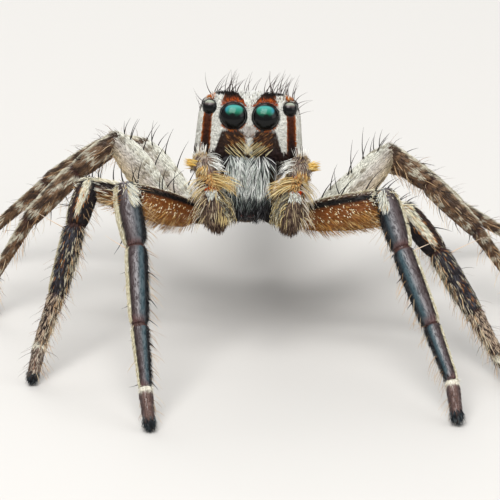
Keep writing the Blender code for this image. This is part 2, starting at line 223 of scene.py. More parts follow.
class Surface:
    """A closed-round grid of points, rows along it and columns round it."""

    def __init__(self, points, tile=(0, 0, 1, 1), place=HEAD, **facts):
        self.points = points
        self.tile = tile
        self.place = place
        self.facts = facts
        around = np.roll(points, -1, 1) - np.roll(points, 1, 1)
        along = np.gradient(points, axis=0)
        normal = np.cross(around, along)
        out = points - points.mean(1, keepdims=True)
        flip = np.where((normal * out).sum() < 0, -1.0, 1.0)
        self.flip = flip
        self.normal = unit(normal * flip)
        self.along = unit(along)

    def scatter(self, count, dice=rng):
        """Random roots, even over the area, with what the coat needs to know at each."""
        p = self.points
        right = np.roll(p, -1, 1)
        area = np.linalg.norm(np.cross(right[:-1] - p[:-1], p[1:] - p[:-1]), axis=2)
        rows, cols = area.shape
        flat = np.cumsum(area.ravel())
        pick = np.searchsorted(flat, dice.random(count) * flat[-1])
        i, j = np.divmod(pick, cols)
        a, b = dice.random(count), dice.random(count)
        k = (j + 1) % cols

        def blend(grid):
            low = grid[i, j] * (1 - a)[:, None] + grid[i, k] * a[:, None]
            high = grid[i + 1, j] * (1 - a)[:, None] + grid[i + 1, k] * a[:, None]
            return low * (1 - b)[:, None] + high * b[:, None]

        u, v = (j + a) / cols, (i + b) / rows
        x, y, w, h = self.tile
        normal = unit(blend(self.normal))
        along = blend(self.along)
        along = unit(along - normal * (along * normal).sum(1, keepdims=True))
        root = blend(p)
        return Roots(root=root, normal=normal, along=along, u=u, v=v,
                     spot=self.place.into(root), facing=self.place.aim_into(normal),
                     uv=np.stack((x + w * (0.02 + 0.96 * u), y + h * (0.02 + 0.96 * v)), 1),
                     **{n: np.full(count, f) for n, f in self.facts.items()})


class Roots:
    """Parallel arrays, one entry for each tuft."""

    def __init__(self, **fields):
        self.__dict__.update(fields)

    def __len__(self):
        return len(self.root)

    def where(self, keep):
        return Roots(**{n: f[keep] for n, f in self.__dict__.items()})

    # the place in the piece's own frame, and the side of its middle that it is on
    x = property(lambda self: self.spot[:, 0])
    y = property(lambda self: self.spot[:, 1])
    z = property(lambda self: self.spot[:, 2])
    hand = property(lambda self: np.sign(self.x))


def oval_rows(stations, count, around=24, square=1.0):
    """Rings across +Y from rows of (y, back, belly, side, lift, shift). A row of two is a
    round ring, and lift and shift are 0 where they are left out."""
    stations = [row + row[1:] * 2 if len(row) == 2 else row for row in stations]
    rows = spline([row + (0,) * (6 - len(row)) for row in stations], count)
    a = turns(around)
    c, s = np.cos(a), np.sin(a)
    c = np.sign(c) * np.abs(c) ** square
    s = np.sign(s) * np.abs(s) ** square
    y, back, belly, side, lift, shift = (rows[:, k, None] for k in range(6))
    deep = np.where(s > 0, back, belly)
    return np.stack((shift + side * c, y + 0 * c, lift + deep * s), axis=2)


# ---------------------------------------------------------------- meshes

def build_mesh(name, points, polygons, colours=None, uv=None, smooth=True):
    """polygons is a list of index arrays, each with its own corner count."""
    mesh = bpy.data.meshes.new(name)
    points = np.asarray(points) * MM
    points[:, 2] = np.maximum(points[:, 2], FLOOR_GAP * MM)
    mesh.vertices.add(len(points))
    mesh.vertices.foreach_set("co", points.ravel())
    corners = np.concatenate([p.ravel() for p in polygons])
    sizes = np.concatenate([np.full(len(p), p.shape[1]) for p in polygons])
    mesh.loops.add(len(corners))
    mesh.loops.foreach_set("vertex_index", corners.astype(np.int32))
    mesh.polygons.add(len(sizes))
    mesh.polygons.foreach_set("loop_start",
                              np.concatenate(([0], np.cumsum(sizes)[:-1])).astype(np.int32))
    mesh.polygons.foreach_set("use_smooth", np.full(len(sizes), smooth))
    mesh.update(calc_edges=True)
    if colours is not None:
        paint = mesh.attributes.new("paint", "FLOAT_COLOR", "POINT")
        paint.data.foreach_set("color", np.column_stack(
            (np.clip(colours, 0, 1), np.ones(len(points)))).ravel().astype(np.float32))
    if uv is not None:
        layer = mesh.uv_layers.new(name="OFBake")
        layer.data.foreach_set("uv", np.clip(uv[corners], 0, 1).ravel().astype(np.float32))
    return mesh


def put(name, data):
    """A new object in the scene."""
    made = bpy.data.objects.new(name, data)
    bpy.context.scene.collection.objects.link(made)
    return made


def finish_piece(mesh, name, matter, nodes=()):
    mesh.materials.clear()
    mesh.materials.append(matter)
    piece = put(name, mesh)
    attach(piece, "root")
    if nodes:
        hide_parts(*nodes)


def join_surfaces(name, surfaces, matter, nodes, paint):
    """One piece from several closed-round grids, each closed at both ends."""
    points, colours, polygons, ends, base = [], [], [], [], 0
    for surface in surfaces:
        grid = surface.points
        rows, cols = grid.shape[:2]
        index = base + np.arange(rows * cols).reshape(rows, cols)
        nxt = np.roll(index, -1, 1)
        quads = np.stack((index[:-1], nxt[:-1], nxt[1:], index[1:]), -1).reshape(-1, 4)
        first, last = index[0][::-1], index[-1]
        if surface.flip < 0:
            quads, first, last = quads[:, ::-1], first[::-1], last[::-1]
        polygons.append(quads)
        ends += [first[None], last[None]]
        points.append(grid.reshape(-1, 3))
        spots = Roots(root=grid.reshape(-1, 3), normal=surface.normal.reshape(-1, 3),
                      spot=surface.place.into(grid.reshape(-1, 3)),
                      facing=surface.place.aim_into(surface.normal.reshape(-1, 3)),
                      u=np.tile(np.arange(cols) / cols, rows),
                      v=np.repeat(np.arange(rows) / (rows - 1), cols),
                      **{n: np.full(rows * cols, f) for n, f in surface.facts.items()})
        colours.append(paint(spots))
        base += rows * cols
    mesh = build_mesh(name, np.concatenate(points), polygons + ends, np.concatenate(colours))
    finish_piece(mesh, name, matter, nodes)


BLADE_WIDTHS = (0.8, 1.0, 0.86, 0.7, 0.5, 0.4)  # of its rings, from the root to the tip
PATCH_WIDE, PATCH_DEEP, PATCH_LONG = 0.0014, 0.0006, 0.003  # of one blade in the map


def tufts(roots, first, last, length, width, colours, steps=2, tip_painted_light=1.15, root_dark=0.7,
          thick=0.35, sink=0.15):
    """Closed three-cornered blades whose path turns from first to last.
    Returns points, polygons, colours and UVs for build_mesh."""
    n = len(roots)
    first, last = unit(first), unit(last)
    side = unit(np.cross(first, roots.normal) + 1e-6)
    length = np.broadcast_to(length, n)[:, None]
    width = np.broadcast_to(width, n)[:, None]
    centre = roots.root - first * length * sink * 0.5
    rings, shades = [], []
    for k in range(steps + 1):
        s = k / steps
        ahead = unit(first * (1 - s) + last * s)
        if k == steps:
            rings.append(centre[:, None])
        else:
            across = unit(side - ahead * (side * ahead).sum(1, keepdims=True))
            above = np.cross(across, ahead)
            half = width * 0.5 * BLADE_WIDTHS[k]
            rings.append(np.stack((centre - across * half, centre + across * half,
                                   centre + above * half * 2 * thick), 1))
        # each blade is darker at its root and lighter at its tip: painted shade deep in the coat and
        # painted light at the tips
        shades.append(np.full(1 if k == steps else 3, root_dark + (tip_painted_light - root_dark) * s))
        centre = centre + ahead * length / steps
    points = np.concatenate(rings, 1)
    per = points.shape[1]
    base = (np.arange(n) * per)[:, None]
    quads, corners = [], np.arange(3)
    for k in range(steps - 1):
        for c in corners:
            d = (c + 1) % 3
            quads.append((3 * k + c, 3 * k + d, 3 * k + 3 + d, 3 * k + 3 + c))
    last_ring = 3 * (steps - 1)
    tris = [(last_ring + c, last_ring + (c + 1) % 3, 3 * steps) for c in corners]
    tris.append((2, 1, 0))
    shade = np.concatenate(shades)
    colour = colours[:, None, :] * shade[None, :, None]
    spread = np.array([(-PATCH_WIDE, 0), (PATCH_WIDE, 0), (0, PATCH_DEEP)] * steps + [(0, PATCH_LONG)])
    spread = spread + np.array([(0, PATCH_LONG * (i // 3) / steps) for i in range(per)])
    uv = roots.uv[:, None, :] + spread[None]
    polygons = []
    if quads:
        polygons.append((base[:, None] + np.array(quads)[None]).reshape(-1, 4))
    polygons.append((base[:, None] + np.array(tris)[None]).reshape(-1, 3))
    return points.reshape(-1, 3), polygons, colour.reshape(-1, 3), uv.reshape(-1, 2)


def coat_piece(name, batches, matter):
    """Joins batches of tufts in one piece."""
    points, colours, uvs, quads, tris, base = [], [], [], [], [], 0
    for p, polygons, c, uv in batches:
        for f in polygons:
            (quads if f.shape[1] == 4 else tris).append(f + base)
        points.append(p)
        colours.append(c)
        uvs.append(uv)
        base += len(p)
    groups = [np.concatenate(g) for g in (quads, tris) if g]
    mesh = build_mesh(name, np.concatenate(points), groups, np.concatenate(colours),
                      np.concatenate(uvs))
    finish_piece(mesh, name, matter)


# ---------------------------------------------------------------- finishes

def shader_of(name, **inputs):
    """A material, its tree and its main shader, with the given inputs set."""
    matter = bpy.data.materials.new(name)
    matter.use_nodes = True
    shader = matter.node_tree.nodes["Principled BSDF"]
    set_inputs(shader, inputs)
    return matter, matter.node_tree, shader


def set_inputs(node, inputs):
    for label, value in inputs.items():
        node.inputs[label.replace("_", " ")].default_value = value


def painted(name, bump=0.0, bump_size=0.0, **inputs):
    """A finish whose colour is the piece's own paint attribute, with a fine grain."""
    matter, tree, shader = shader_of(name, **inputs)
    paint = tree.nodes.new("ShaderNodeAttribute")
    paint.attribute_name = "paint"
    tree.links.new(paint.outputs["Color"], shader.inputs["Base Color"])
    if bump:
        where = tree.nodes.new("ShaderNodeTexCoord")
        grain = tree.nodes.new("ShaderNodeTexNoise")
        set_inputs(grain, {"Scale": bump_size, "Detail": 3.0})
        lift = tree.nodes.new("ShaderNodeBump")
        set_inputs(lift, {"Strength": bump, "Distance": 0.00002})
        tree.links.new(where.outputs["Object"], grain.inputs["Vector"])
        tree.links.new(grain.outputs["Fac"], lift.inputs["Height"])
        tree.links.new(lift.outputs["Normal"], shader.inputs["Normal"])
    return matter


SKIN = painted("cuticle", 0.35, 30000.0, Roughness=0.5)
SLATE = painted("smooth_leg", 0.25, 60000.0, Roughness=0.36, Coat_Weight=0.15, Coat_Roughness=0.3)
GLOSSY = painted("glossy_cuticle", Roughness=0.18, Coat_Weight=0.5, Coat_Roughness=0.08)
HAIR = painted("hair", Roughness=0.6, Specular_IOR_Level=0.25)
EYE = painted("eye_glass", Roughness=0.12, Specular_IOR_Level=0.22)

WHITE = linear((234, 233, 224))
BLACK = linear((22, 18, 17))
BEIGE = linear((186, 162, 122))


# the skin's colours against those of the coat over it
HEAD_SHADE, LEG_SHADE, ABDOMEN_SHADE = 0.7, 0.85, 0.8


def speckle(n, amount, dice=rng):
    return 1 + amount * (dice.random(n) * 2 - 1)


def chance(q):
    return rng.normal(size=len(q))


# ---------------------------------------------------------------- head

CARAPACE = (
    # back, half width below, half width above, underside, top, squareness
    (0.12, 1.18, 1.15, -0.93, 0.49, 6.0),
    (0.45, 1.24, 1.17, -0.97, 0.53, 6.5),
    (1.00, 1.29, 1.17, -1.14, 0.54, 6.5),
    (1.70, 1.33, 1.15, -1.24, 0.48, 5.5),
    (2.30, 1.35, 1.05, -1.26, 0.32, 4.0),
    (2.90, 1.26, 0.86, -1.26, -0.02, 3.2),
    (3.40, 1.07, 0.62, -1.24, -0.44, 2.8),
    (3.72, 0.76, 0.41, -1.22, -0.82, 2.5),
    (3.86, 0.40, 0.22, -1.16, -1.00, 2.4),
)


def carapace_grid(cols=160):
    def ring(station):
        y, low_half, high_half, under, top, square = station
        a = turns(cols)
        up = np.clip(np.sin(a), 0, 1) ** (2 / square)
        across = np.sign(np.cos(a)) * np.abs(np.cos(a)) ** (2 / square)
        half = low_half + (high_half - low_half) * up
        x = np.where(np.sin(a) >= 0, half * across, low_half * np.cos(a))
        z = np.where(np.sin(a) >= 0, under + (top - under) * up,
                     under + 0.10 * np.sin(a))
        return np.stack((x, np.full(cols, y), z), 1)

    stations = spline(CARAPACE, 90)
    rim = ring(stations[0])
    middle = np.array((0.0, 0.0, -0.22))
    face = []
    near_rim = 1 - 0.1 * np.linspace(1, 0, 9)[1:-1] ** 2
    for s in np.concatenate((np.linspace(0.02, 0.9, 24), near_rim)):
        row = middle + (rim - middle) * s
        row[:, 1] = 0.04 + 0.08 * s ** 9
        face.append(row)
    rings = face + [ring(s) for s in stations]
    return HEAD.out(np.array(rings))


HEAD_SHELL = Surface(carapace_grid())


def face_share(r):
    """1 on the flat front of the head, 0 behind it."""
    return ramp(-0.35, -0.65, r.facing[:, 1]) * ramp(0.5, 0.2, r.y)


def way(a, b, c):
    """Directions in the head frame, turned to the world."""
    return HEAD.aim(np.stack(np.broadcast_arrays(a, b, c), -1).astype(float))


BIG_EYE_X, BIG_EYE_RADIUS = 0.391, 0.340
SMALL_EYE_X, SMALL_EYE_Z, SMALL_EYE_RADIUS = 0.970, 0.205, 0.180


def big_eye_gap(x, z):
    return np.hypot(np.abs(x) - BIG_EYE_X, z) - BIG_EYE_RADIUS


def small_eye_gap(x, z):
    return np.hypot(np.abs(x) - SMALL_EYE_X, z - SMALL_EYE_Z) - SMALL_EYE_RADIUS


def eye_gap(r):
    return np.minimum(big_eye_gap(r.x, r.z), small_eye_gap(r.x, r.z))


def head_marks(r):
    """The markings of the carapace and the face, from the place in the head frame."""
    x, y, z = np.abs(r.x), r.y, r.z
    front = face_share(r)
    # the top and the flanks, behind the face
    stripe = 0.30 + 0.06 * np.sin(y * 1.6) - 0.12 * ramp(2.4, 3.7, y)
    flank = fade(0.35, 0.65, r.facing[:, 2]) * (1 - front) * ramp(0.12, 0.3, y)
    fall = 0.30 * ramp(1.0, 2.2, y)
    colour = layers(
        flat(r, WHITE),
        (BLACK, (1 - band(x, -1, stripe, 0.03)) * ramp(0.14, 0.22, y)
         * ramp(0.05, 0.25, z + 0.3 * ramp(2.2, 3.0, y))
         * np.maximum(ramp(0.35, 0.6, y), ramp(1.0, 0.9, x))),
        ((54, 36, 28), flank * band(z, -0.86, -0.62 + 0.12 * ramp(0.6, 2.0, y), 0.05)
         * ramp(0.15, 0.4, y)),
        (BLACK, flank * ramp(0.30 - fall, 0.38 - fall, z) * ramp(0.55, 0.8, y)),
        ((150, 78, 26), ramp(0.36, 0.44, z) * ramp(0.94, 0.99, x) * ramp(0.6, 0.4, y)),
        (BLACK, flank * band(z, -1.4, -1.08, 0.04)),
        (BLACK, ramp(2.3, 3.1, y) * (1 - band(x, -1, 0.24, 0.04)) * ramp(-0.9, -0.7, z)))
    # the dark stripe under each small front eye, with rust edges
    off = np.abs(x - (0.99 - 0.065 * z)) + 0.004 * np.sin(z * 40)
    stripe = front * ramp(0.10, 0.04, z)
    colour = layers(
        colour,
        ((190, 112, 40), stripe * fade(0.108, 0.122, off)),
        ((118, 50, 12), stripe * fade(0.084, 0.104, off)),
        ((78, 34, 12), stripe * fade(0.045, 0.090, off)),
        ((50, 22, 10), stripe * fade(0.02, 0.07, off) * ramp(-0.15, -0.55, z)),
        ((30, 14, 10), stripe * fade(0.085, 0.11, off) * ramp(-0.45, -0.75, z)),
        ((108, 84, 74), front * ramp(1.10, 1.16, x) * band(z, -1.2, -0.66, 0.06) * 0.8))
    # the dark front below the big eyes
    edge = 0.63 - 0.30 * np.clip(z + 0.34, -0.6, 0)
    clypeus = front * fade(-0.02, 0.02, x - edge) * ramp(-0.30, -0.36, z)
    colour = layers(
        colour,
        ((50, 31, 20), clypeus),
        ((46, 31, 30), clypeus * ramp(-0.66, -0.80, z)),
        ((200, 194, 186), front * band(x, -1, 0.15, 0.04) * band(z, -0.44, -0.20, 0.05)),
        ((236, 236, 230), front * band(x, -1, 0.13, 0.025) * band(z, -0.84, -0.46, 0.04)),
        ((42, 26, 24), front * ramp(-0.86, -0.92, z)))
    # above the eyes: a white crest in a V, rust and brown on each side of it
    big, small = big_eye_gap(x, z), small_eye_gap(x, z)
    past = x - (0.075 + 0.66 * (z - 0.22))
    above = front * ramp(0.16, 0.22, z) * ramp(-0.012, 0.012, past) * fade(0.62, 0.66, x)
    return layers(
        colour,
        ((52, 27, 13), above),
        ((162, 84, 34), above * fade(0.01, 0.04, past) * 0.7),
        ((128, 62, 24), above * ramp(0.54, 0.62, x) * 0.8),
        ((26, 15, 10), above * ramp(0.46, 0.52, z + 0.03 * np.sin(x * 60))),
        ((160, 66, 16), front * ramp(0.17, 0.22, z) * fade(0.62, 0.68, x)
         * ramp(-0.05, -0.02, past) * fade(0.040, 0.058, big)),
        ((24, 14, 10), ramp(0.462, 0.485, z) * ramp(0.35, 0.2, y)
         * ramp(-0.012, 0.012, past) * fade(0.78, 0.84, x)),
        ((172, 88, 34), front * ramp(0.30, 0.34, z) * ramp(0.93, 0.97, x)),
        ((186, 92, 32), front * ramp(0.26, 0.32, z) * ramp(0.86, 0.92, x) * fade(0.05, 0.09, small)),
        ((186, 92, 30), front * ramp(-0.19, -0.23, z) * fade(0.010, 0.020, big)),
        ((14, 12, 12), front * fade(0.0, 0.008, big)),
        ((14, 12, 12), front * fade(0.0, 0.010, small)))


def head_lie(r):
    """Which way the hairs of the head lie."""
    x, z, side, wide = r.x, r.z, r.hand, np.abs(r.x)
    flank = way(0 * x, 0.8, -0.6)
    level = ramp(0.35, 0.65, r.facing[:, 2])[:, None]
    lie = flank + (way(0.15 * side, 1.0, -0.05) - flank) * level
    splay = 0.10 + 0.65 * band(wide, 0.60, 0.88, 0.04) + 0.2 * ramp(1.12, 1.2, wide)
    face = way(side * splay, -0.1, -1.0)
    near_big = fade(0.06, 0.14, big_eye_gap(x, z)) * ramp(0.1, 0.3, np.abs(z))
    clypeus = band(wide, 0.10, 0.62, 0.03) * ramp(-0.38, -0.42, z)
    for turned, share in (
            (way(-side * 0.3, 0.1, 1.0), ramp(0.12, 0.22, z)),
            (way((x - side * BIG_EYE_X) / BIG_EYE_RADIUS, 0.0, z / BIG_EYE_RADIUS), near_big),
            (way(-side * 0.9, -0.1, -0.8), clypeus)):
        face = face + (turned - face) * share[:, None]
    lie = lie + (face - lie) * face_share(r)[:, None]
    return unit(lie - r.normal * (lie * r.normal).sum(1, keepdims=True))


def ruffle(points, size, seed):
    """A smooth wandering direction, so that near hairs lean alike and make locks."""
    dice = np.random.default_rng(seed)
    total = np.zeros((len(points), 3))
    for _ in range(5):
        wave = dice.normal(size=3) * 3.6 / size
        total += np.sin((points @ wave)[:, None] + 6.3 * dice.random(3)) * dice.normal(size=3)
    return total / 2.3


def lying(r, lie, lift, sway, dice=rng):
    """First and last directions of tufts that leave the skin at lift degrees and lie down."""
    n = len(r)
    across = np.cross(r.normal, lie)
    lie = unit(lie + across * (sway * (dice.random(n) * 2 - 1))[:, None])
    a = np.radians(np.broadcast_to(lift, n) * (0.6 + 0.8 * dice.random(n)))[:, None]
    first = lie * np.cos(a) + r.normal * np.sin(a)
    last = lie * np.cos(a * 0.2) + r.normal * np.sin(a * 0.2)
    return first, last


def pick(r, where, count, dice=rng):
    """Some of the roots inside a region."""
    found = np.flatnonzero(where)
    found = dice.permutation(found)[:count]
    return r.where(found)


def grow(r, first, last, length, width, tone, uneven=0.15, dice=rng, **more):
    """Tufts with some chance in their length, width and tone."""
    n = len(r)
    tone = np.broadcast_to(linear(tone), (n, 3)) * speckle(n, uneven, dice)[:, None]
    return tufts(r, first, last, length * speckle(n, 0.28, dice), width * speckle(n, 0.2, dice),
                 tone, **more)


def mixed(n, colours, shares, dice=rng):
    """A colour for each tuft, drawn by shares. One colour needs no draw."""
    if len(colours) == 1:
        return linear(colours[0])
    colours = np.array([linear(colour) for colour in colours])
    return colours[dice.choice(len(colours), n, p=np.array(shares) / sum(shares))]


# where the rear eyes stand clear of the coat: across, back, up, radius
REAR_EYE_CLEAR = ((1.09, 0.95, 0.33, 0.06), (1.06, 1.72, 0.36, 0.165))
LATTICE_HAIRS = 19  # from each side


def build_head():
    join_surfaces("skin_carapace", [HEAD_SHELL], SKIN, ["carapace"],
                  lambda r: head_marks(r) * HEAD_SHADE)
    r = HEAD_SHELL.scatter(110000)
    clear = ((eye_gap(r) > 0.004) | (r.y > 0.5)) & (r.facing[:, 2] > -0.7)
    for x, y, z, radius in REAR_EYE_CLEAR:
        clear &= (np.abs(np.abs(r.x) - x) > 0.3) | (np.hypot(r.y - y, r.z - z) > radius)
    r = r.where(clear)
    wide, y, z = np.abs(r.x), r.y, r.z
    big, small = big_eye_gap(wide, z), small_eye_gap(wide, z)
    face = face_share(r) > 0.02
    coat = []

    def add(q, first, last, length, width, tone, uneven=0.15, **more):
        coat.append(grow(q, first, last, length, width, tone, uneven, **more))

    q = pick(r, face, 17000)
    first, last = lying(q, head_lie(q), 13, 0.16)
    shade = np.where(rng.random(len(q)) < 0.18, 0.80, 1.06)[:, None]
    add(q, first, last, 0.045 + 0.055 * ramp(0.0, 0.06, eye_gap(q)), 0.017,
        head_marks(q) * shade, 0.14, tip_painted_light=1.12, root_dark=0.62)
    # crest hairs that rise over the top edge
    q = pick(r, (wide < 0.05 + 0.64 * (z - 0.19)) & (z > 0.2) & (y < 0.35), 760)
    first = unit(way(1.3 * q.x + 0.40 * chance(q), -0.32, 1.0))
    add(q, first, first + way(0, 0.8, 0.2), 0.13, 0.018,
        mixed(len(q), (WHITE * 1.16, (210, 208, 196), (96, 84, 74)), (8, 2, 0.8)), 0.1, root_dark=0.4)
    # white tufts on the upper corners
    q = pick(r, (wide > 0.66) & (wide < 0.92) & (z > 0.30)
             & (z < 0.42 + 0.5 * ramp(0.80, 0.84, wide)) & (y < 0.32), 210)
    first = unit(way(0.3 * chance(q), -0.30, 1.0))
    add(q, first, first + way(0.3 * chance(q), 0.3, 0.0), 0.13, 0.018,
        mixed(len(q), (WHITE * 1.1, (206, 200, 184), (120, 98, 80)), (6, 2, 1)), root_dark=0.5)
    # little white tufts down the outer edges
    q = pick(r, (wide > 1.10) & (z > -0.75) & (z < 0.30) & (y < 0.35), 170)
    first = way(q.hand * 0.8, -0.3, -0.5 + 0.4 * chance(q))
    add(q, first, first, 0.08, 0.016, WHITE * 1.05, root_dark=0.5)
    # black hairs along the top edge beside the crest
    q = pick(r, (wide > 0.34) & (wide < 0.80) & (z > 0.47) & (y < 0.30), 620)
    drift = chance(q)
    add(q, way(q.hand * 0.5 + 0.5 * drift, -0.35, 0.75), way(q.hand * 0.9, 0.3, 0.1 + 0.3 * drift),
        0.13, 0.015, (24, 14, 10), steps=3)
    # rust lashes over the big eyes
    q = pick(r, face & (big < 0.040) & (z > 0.17) & (wide > 0.15) & (wide < 0.68), 600)
    out = way(q.x - q.hand * BIG_EYE_X, -0.10, q.z)
    add(q, out, out + way(0, 0.1, 0.1), 0.050, 0.016,
        mixed(len(q), ((166, 74, 20), (124, 50, 14), (194, 100, 40)), (4, 2, 1)), root_dark=0.85)
    # a thin rust line under each big eye, its hairs lying along the rim
    q = pick(r, face & (big > 0.004) & (big < 0.018) & (z < -0.20), 300)
    along = unit(way(-q.z, -0.10, q.x - q.hand * BIG_EYE_X) + 0.10 * rng.normal(size=(len(q), 3)))
    add(q, along, along, 0.06, 0.010, (186, 108, 46), 0.2)
    # rust lashes over the small eyes
    q = pick(r, (small < 0.10) & (z > 0.28) & (wide > 0.86) & (y < 0.30), 300)
    out = way(q.x - q.hand * SMALL_EYE_X, -0.22, q.z - 0.13)
    add(q, out, out + way(0, 0.2, 0.1), 0.11, 0.018,
        mixed(len(q), ((186, 102, 42), (122, 64, 30), (214, 160, 96)), (4, 2, 1)), root_dark=0.8)
    # white hairs that frame the big eyes
    q = pick(r, face & (big < 0.03) & (z < 0.22) & (z > -0.16), 380)
    out = way(q.x - q.hand * BIG_EYE_X, -0.25, q.z)
    add(q, out, out + way(0, 0.1, -0.3), 0.06, 0.016, WHITE * 1.12)
    # mottled grey between the eyes, brown streaks below them
    q = pick(r, face & (wide < 0.17) & (z < -0.20) & (z > -0.47), 170)
    first, last = lying(q, head_lie(q), 18, 0.6)
    add(q, first, last, 0.07, 0.016,
        mixed(len(q), ((182, 164, 154), (222, 218, 210), (104, 82, 72)), (3, 5, 2)))
    q = pick(r, face & (wide > 0.14) & (wide < 0.62) & (z < -0.36) & (z > -0.70), 330)
    add(q, way(-q.hand * 0.75, -0.22, -0.65 + 0.18 * chance(q)), way(-q.hand * 0.9, 0.0, -0.6),
        0.17, 0.015, mixed(len(q), ((172, 116, 60), (96, 60, 36), (44, 28, 22)), (3, 3, 3)),
        steps=3, root_dark=0.5)
    # a lattice of golden hairs from each side that cross over the top of the jaws
    lattice = r.where(face & (z < -0.40) & (z > -0.84))
    for side in (-1, 1):
        for k in range(LATTICE_HAIRS):
            share = k / (LATTICE_HAIRS - 1)
            across = side * (0.58 - 0.46 * share + 0.02 * rng.normal())
            up = -0.78 + 0.18 * share + 0.04 * rng.normal()
            q = lattice.where(np.array([np.argmin(np.hypot(lattice.x - across, lattice.z - up))]))
            slope = -0.70 + 0.09 * rng.normal()
            first, last = (way(np.full(1, -side * 0.75), -forward, slope) for forward in (0.62, 0.10))
            tone = ((242, 230, 184), (216, 186, 122), (236, 222, 170))[k % 3]
            add(q, first, last, 0.50, 0.0125, tone, 0.1, steps=5, root_dark=0.6)
    # long dark hairs over the cheeks, next to the feelers
    q = pick(r, face & (wide > 0.5) & (wide < 1.0) & (z < -0.8), 260)
    first = way(q.hand * 0.2, -0.3, -1.0 + 0.2 * chance(q))
    add(q, first, first, 0.14, 0.018, (48, 30, 26))
    coat_piece("coat_face", coat, HAIR)
    q = pick(r, ~face, 15500)
    first, last = lying(q, head_lie(q), 12, 0.30)
    coat_piece("coat_carapace", [grow(q, first, last, 0.19, 0.036, head_marks(q))],
               HAIR)


# ---------------------------------------------------------------- eyes

EYES = {
    # across, back, up, radius, turned out, turned up
    "anterior_median": (BIG_EYE_X, 0.030, 0.0, 0.342, 4, 0),
    "anterior_lateral": (SMALL_EYE_X, 0.075, SMALL_EYE_Z, 0.182, 18, 4),
    "posterior_median": (1.090, 0.95, 0.33, 0.050, 62, 24),
    "posterior_lateral": (1.060, 1.72, 0.35, 0.160, 66, 26),
}


def eye_surface(which, kind):
    side = side_of(which)
    x, y, z, radius, out, up = EYES[kind]
    place = Place(HEAD.out((side * x, y, z)),
                  HEAD.turn @ spin("z", side * out) @ spin("x", -up))
    rows = []
    # a low rim, a small step, and the domed lens inside it
    rim = [(1.0, 0.45), (1.0, 0.10), (0.985, 0.0), (0.965, -0.05), (0.945, -0.07), (0.930, -0.06),
           (0.922, -0.065)]
    lens = [(0.922 * math.cos(a), -0.065 - 0.62 * math.sin(a)) for a in np.linspace(0.03, 1.55, 38)]
    turn = turns(72)
    for wide, deep in rim + lens:
        rows.append(np.stack((radius * wide * np.cos(turn), np.full(72, radius * deep),
                              radius * wide * np.sin(turn)), 1))
    return Surface(place.out(np.array(rows)), place=place, size=radius, side=side)


def eye_marks(r):
    """Black glass with a painted reflection in its upper half: turquoise in the big eyes, pale grey in the
    small.
    """
    x, z = r.x / r.size, r.z / r.size
    if r.size[0] > 0.3:
        # turquoise painted reflection of the big eye, bluer to the outer side, with a dark pupil below its
        # middle
        at = x + 0.08 * r.side
        painted_reflection = shades(z, ((-0.14, (8, 20, 17)), (0.06, (13, 46, 37)), (0.24, (30, 104, 79)),
                          (0.46, (46, 128, 112)), (0.64, (76, 156, 147)), (0.82, (44, 110, 115))))
        painted_reflection = lay(painted_reflection, (54, 128, 160), ramp(0.26, 0.60, at * r.side) * 0.6 * ramp(0.1, 0.4, z))
        patch = np.hypot(at / 0.66, (z - 0.42) / np.where(z > 0.42, 0.36, 0.56))
        share = fade(0.80, 1.04, patch) * (0.15 + 0.85 * ramp(0.13, 0.26, np.hypot(x, z + 0.04)))
    else:
        # pale grey painted reflection of the small eye
        painted_reflection = shades(z, ((-0.05, (12, 11, 11)), (0.15, (44, 38, 38)), (0.35, (98, 88, 86)),
                          (0.52, (142, 146, 132)), (0.75, (166, 174, 158))))
        patch = np.hypot((x + 0.12 * r.side) / 0.70, (z - 0.42) / np.where(z > 0.42, 0.42, 0.52))
        share = fade(0.70, 1.05, patch)
    return layers(flat(r, (10, 11, 11)), (painted_reflection, share),
                  ((58, 60, 58), band(np.hypot(x, z), 0.90, 0.925, 0.012) * 0.6))


def build_eyes():
    for which in SIDES:
        for kind in EYES:
            name = f"eye_{kind}_{which}"
            join_surfaces(f"lens_{kind}_{which}", [eye_surface(which, kind)], EYE,
                          [name], eye_marks)


# ---------------------------------------------------------------- jaws

# rows of (height, outward, back, half depth, half width)
JAW = ((-0.93, 0.33, 0.14, 0.20, 0.24), (-1.02, 0.345, 0.13, 0.27, 0.32),
       (-1.20, 0.36, 0.10, 0.31, 0.345), (-1.50, 0.355, 0.08, 0.31, 0.33),
       (-1.85, 0.325, 0.06, 0.28, 0.28), (-2.15, 0.28, 0.04, 0.23, 0.23),
       (-2.32, 0.24, 0.03, 0.16, 0.17), (-2.40, 0.22, 0.03, 0.05, 0.06))
JAW_HAIRS = (
    # count, highest, lowest, length, width, colours, shares
    (520, -0.96, -2.10, 0.28, 0.018, ((62, 64, 66), (30, 30, 32), (104, 110, 108)), (3, 4, 2)),
    (150, -0.96, -1.95, 0.42, 0.019, ((138, 148, 142), (92, 100, 96)), (1, 1)),
    (250, -0.96, -1.60, 0.54, 0.022, ((252, 253, 248), (232, 238, 230), (186, 194, 186)), (5, 3, 1)),
    (300, -1.80, -2.36, 0.30, 0.020, ((24, 22, 24), (56, 54, 56), (120, 120, 122)), (6, 2, 1)),
)


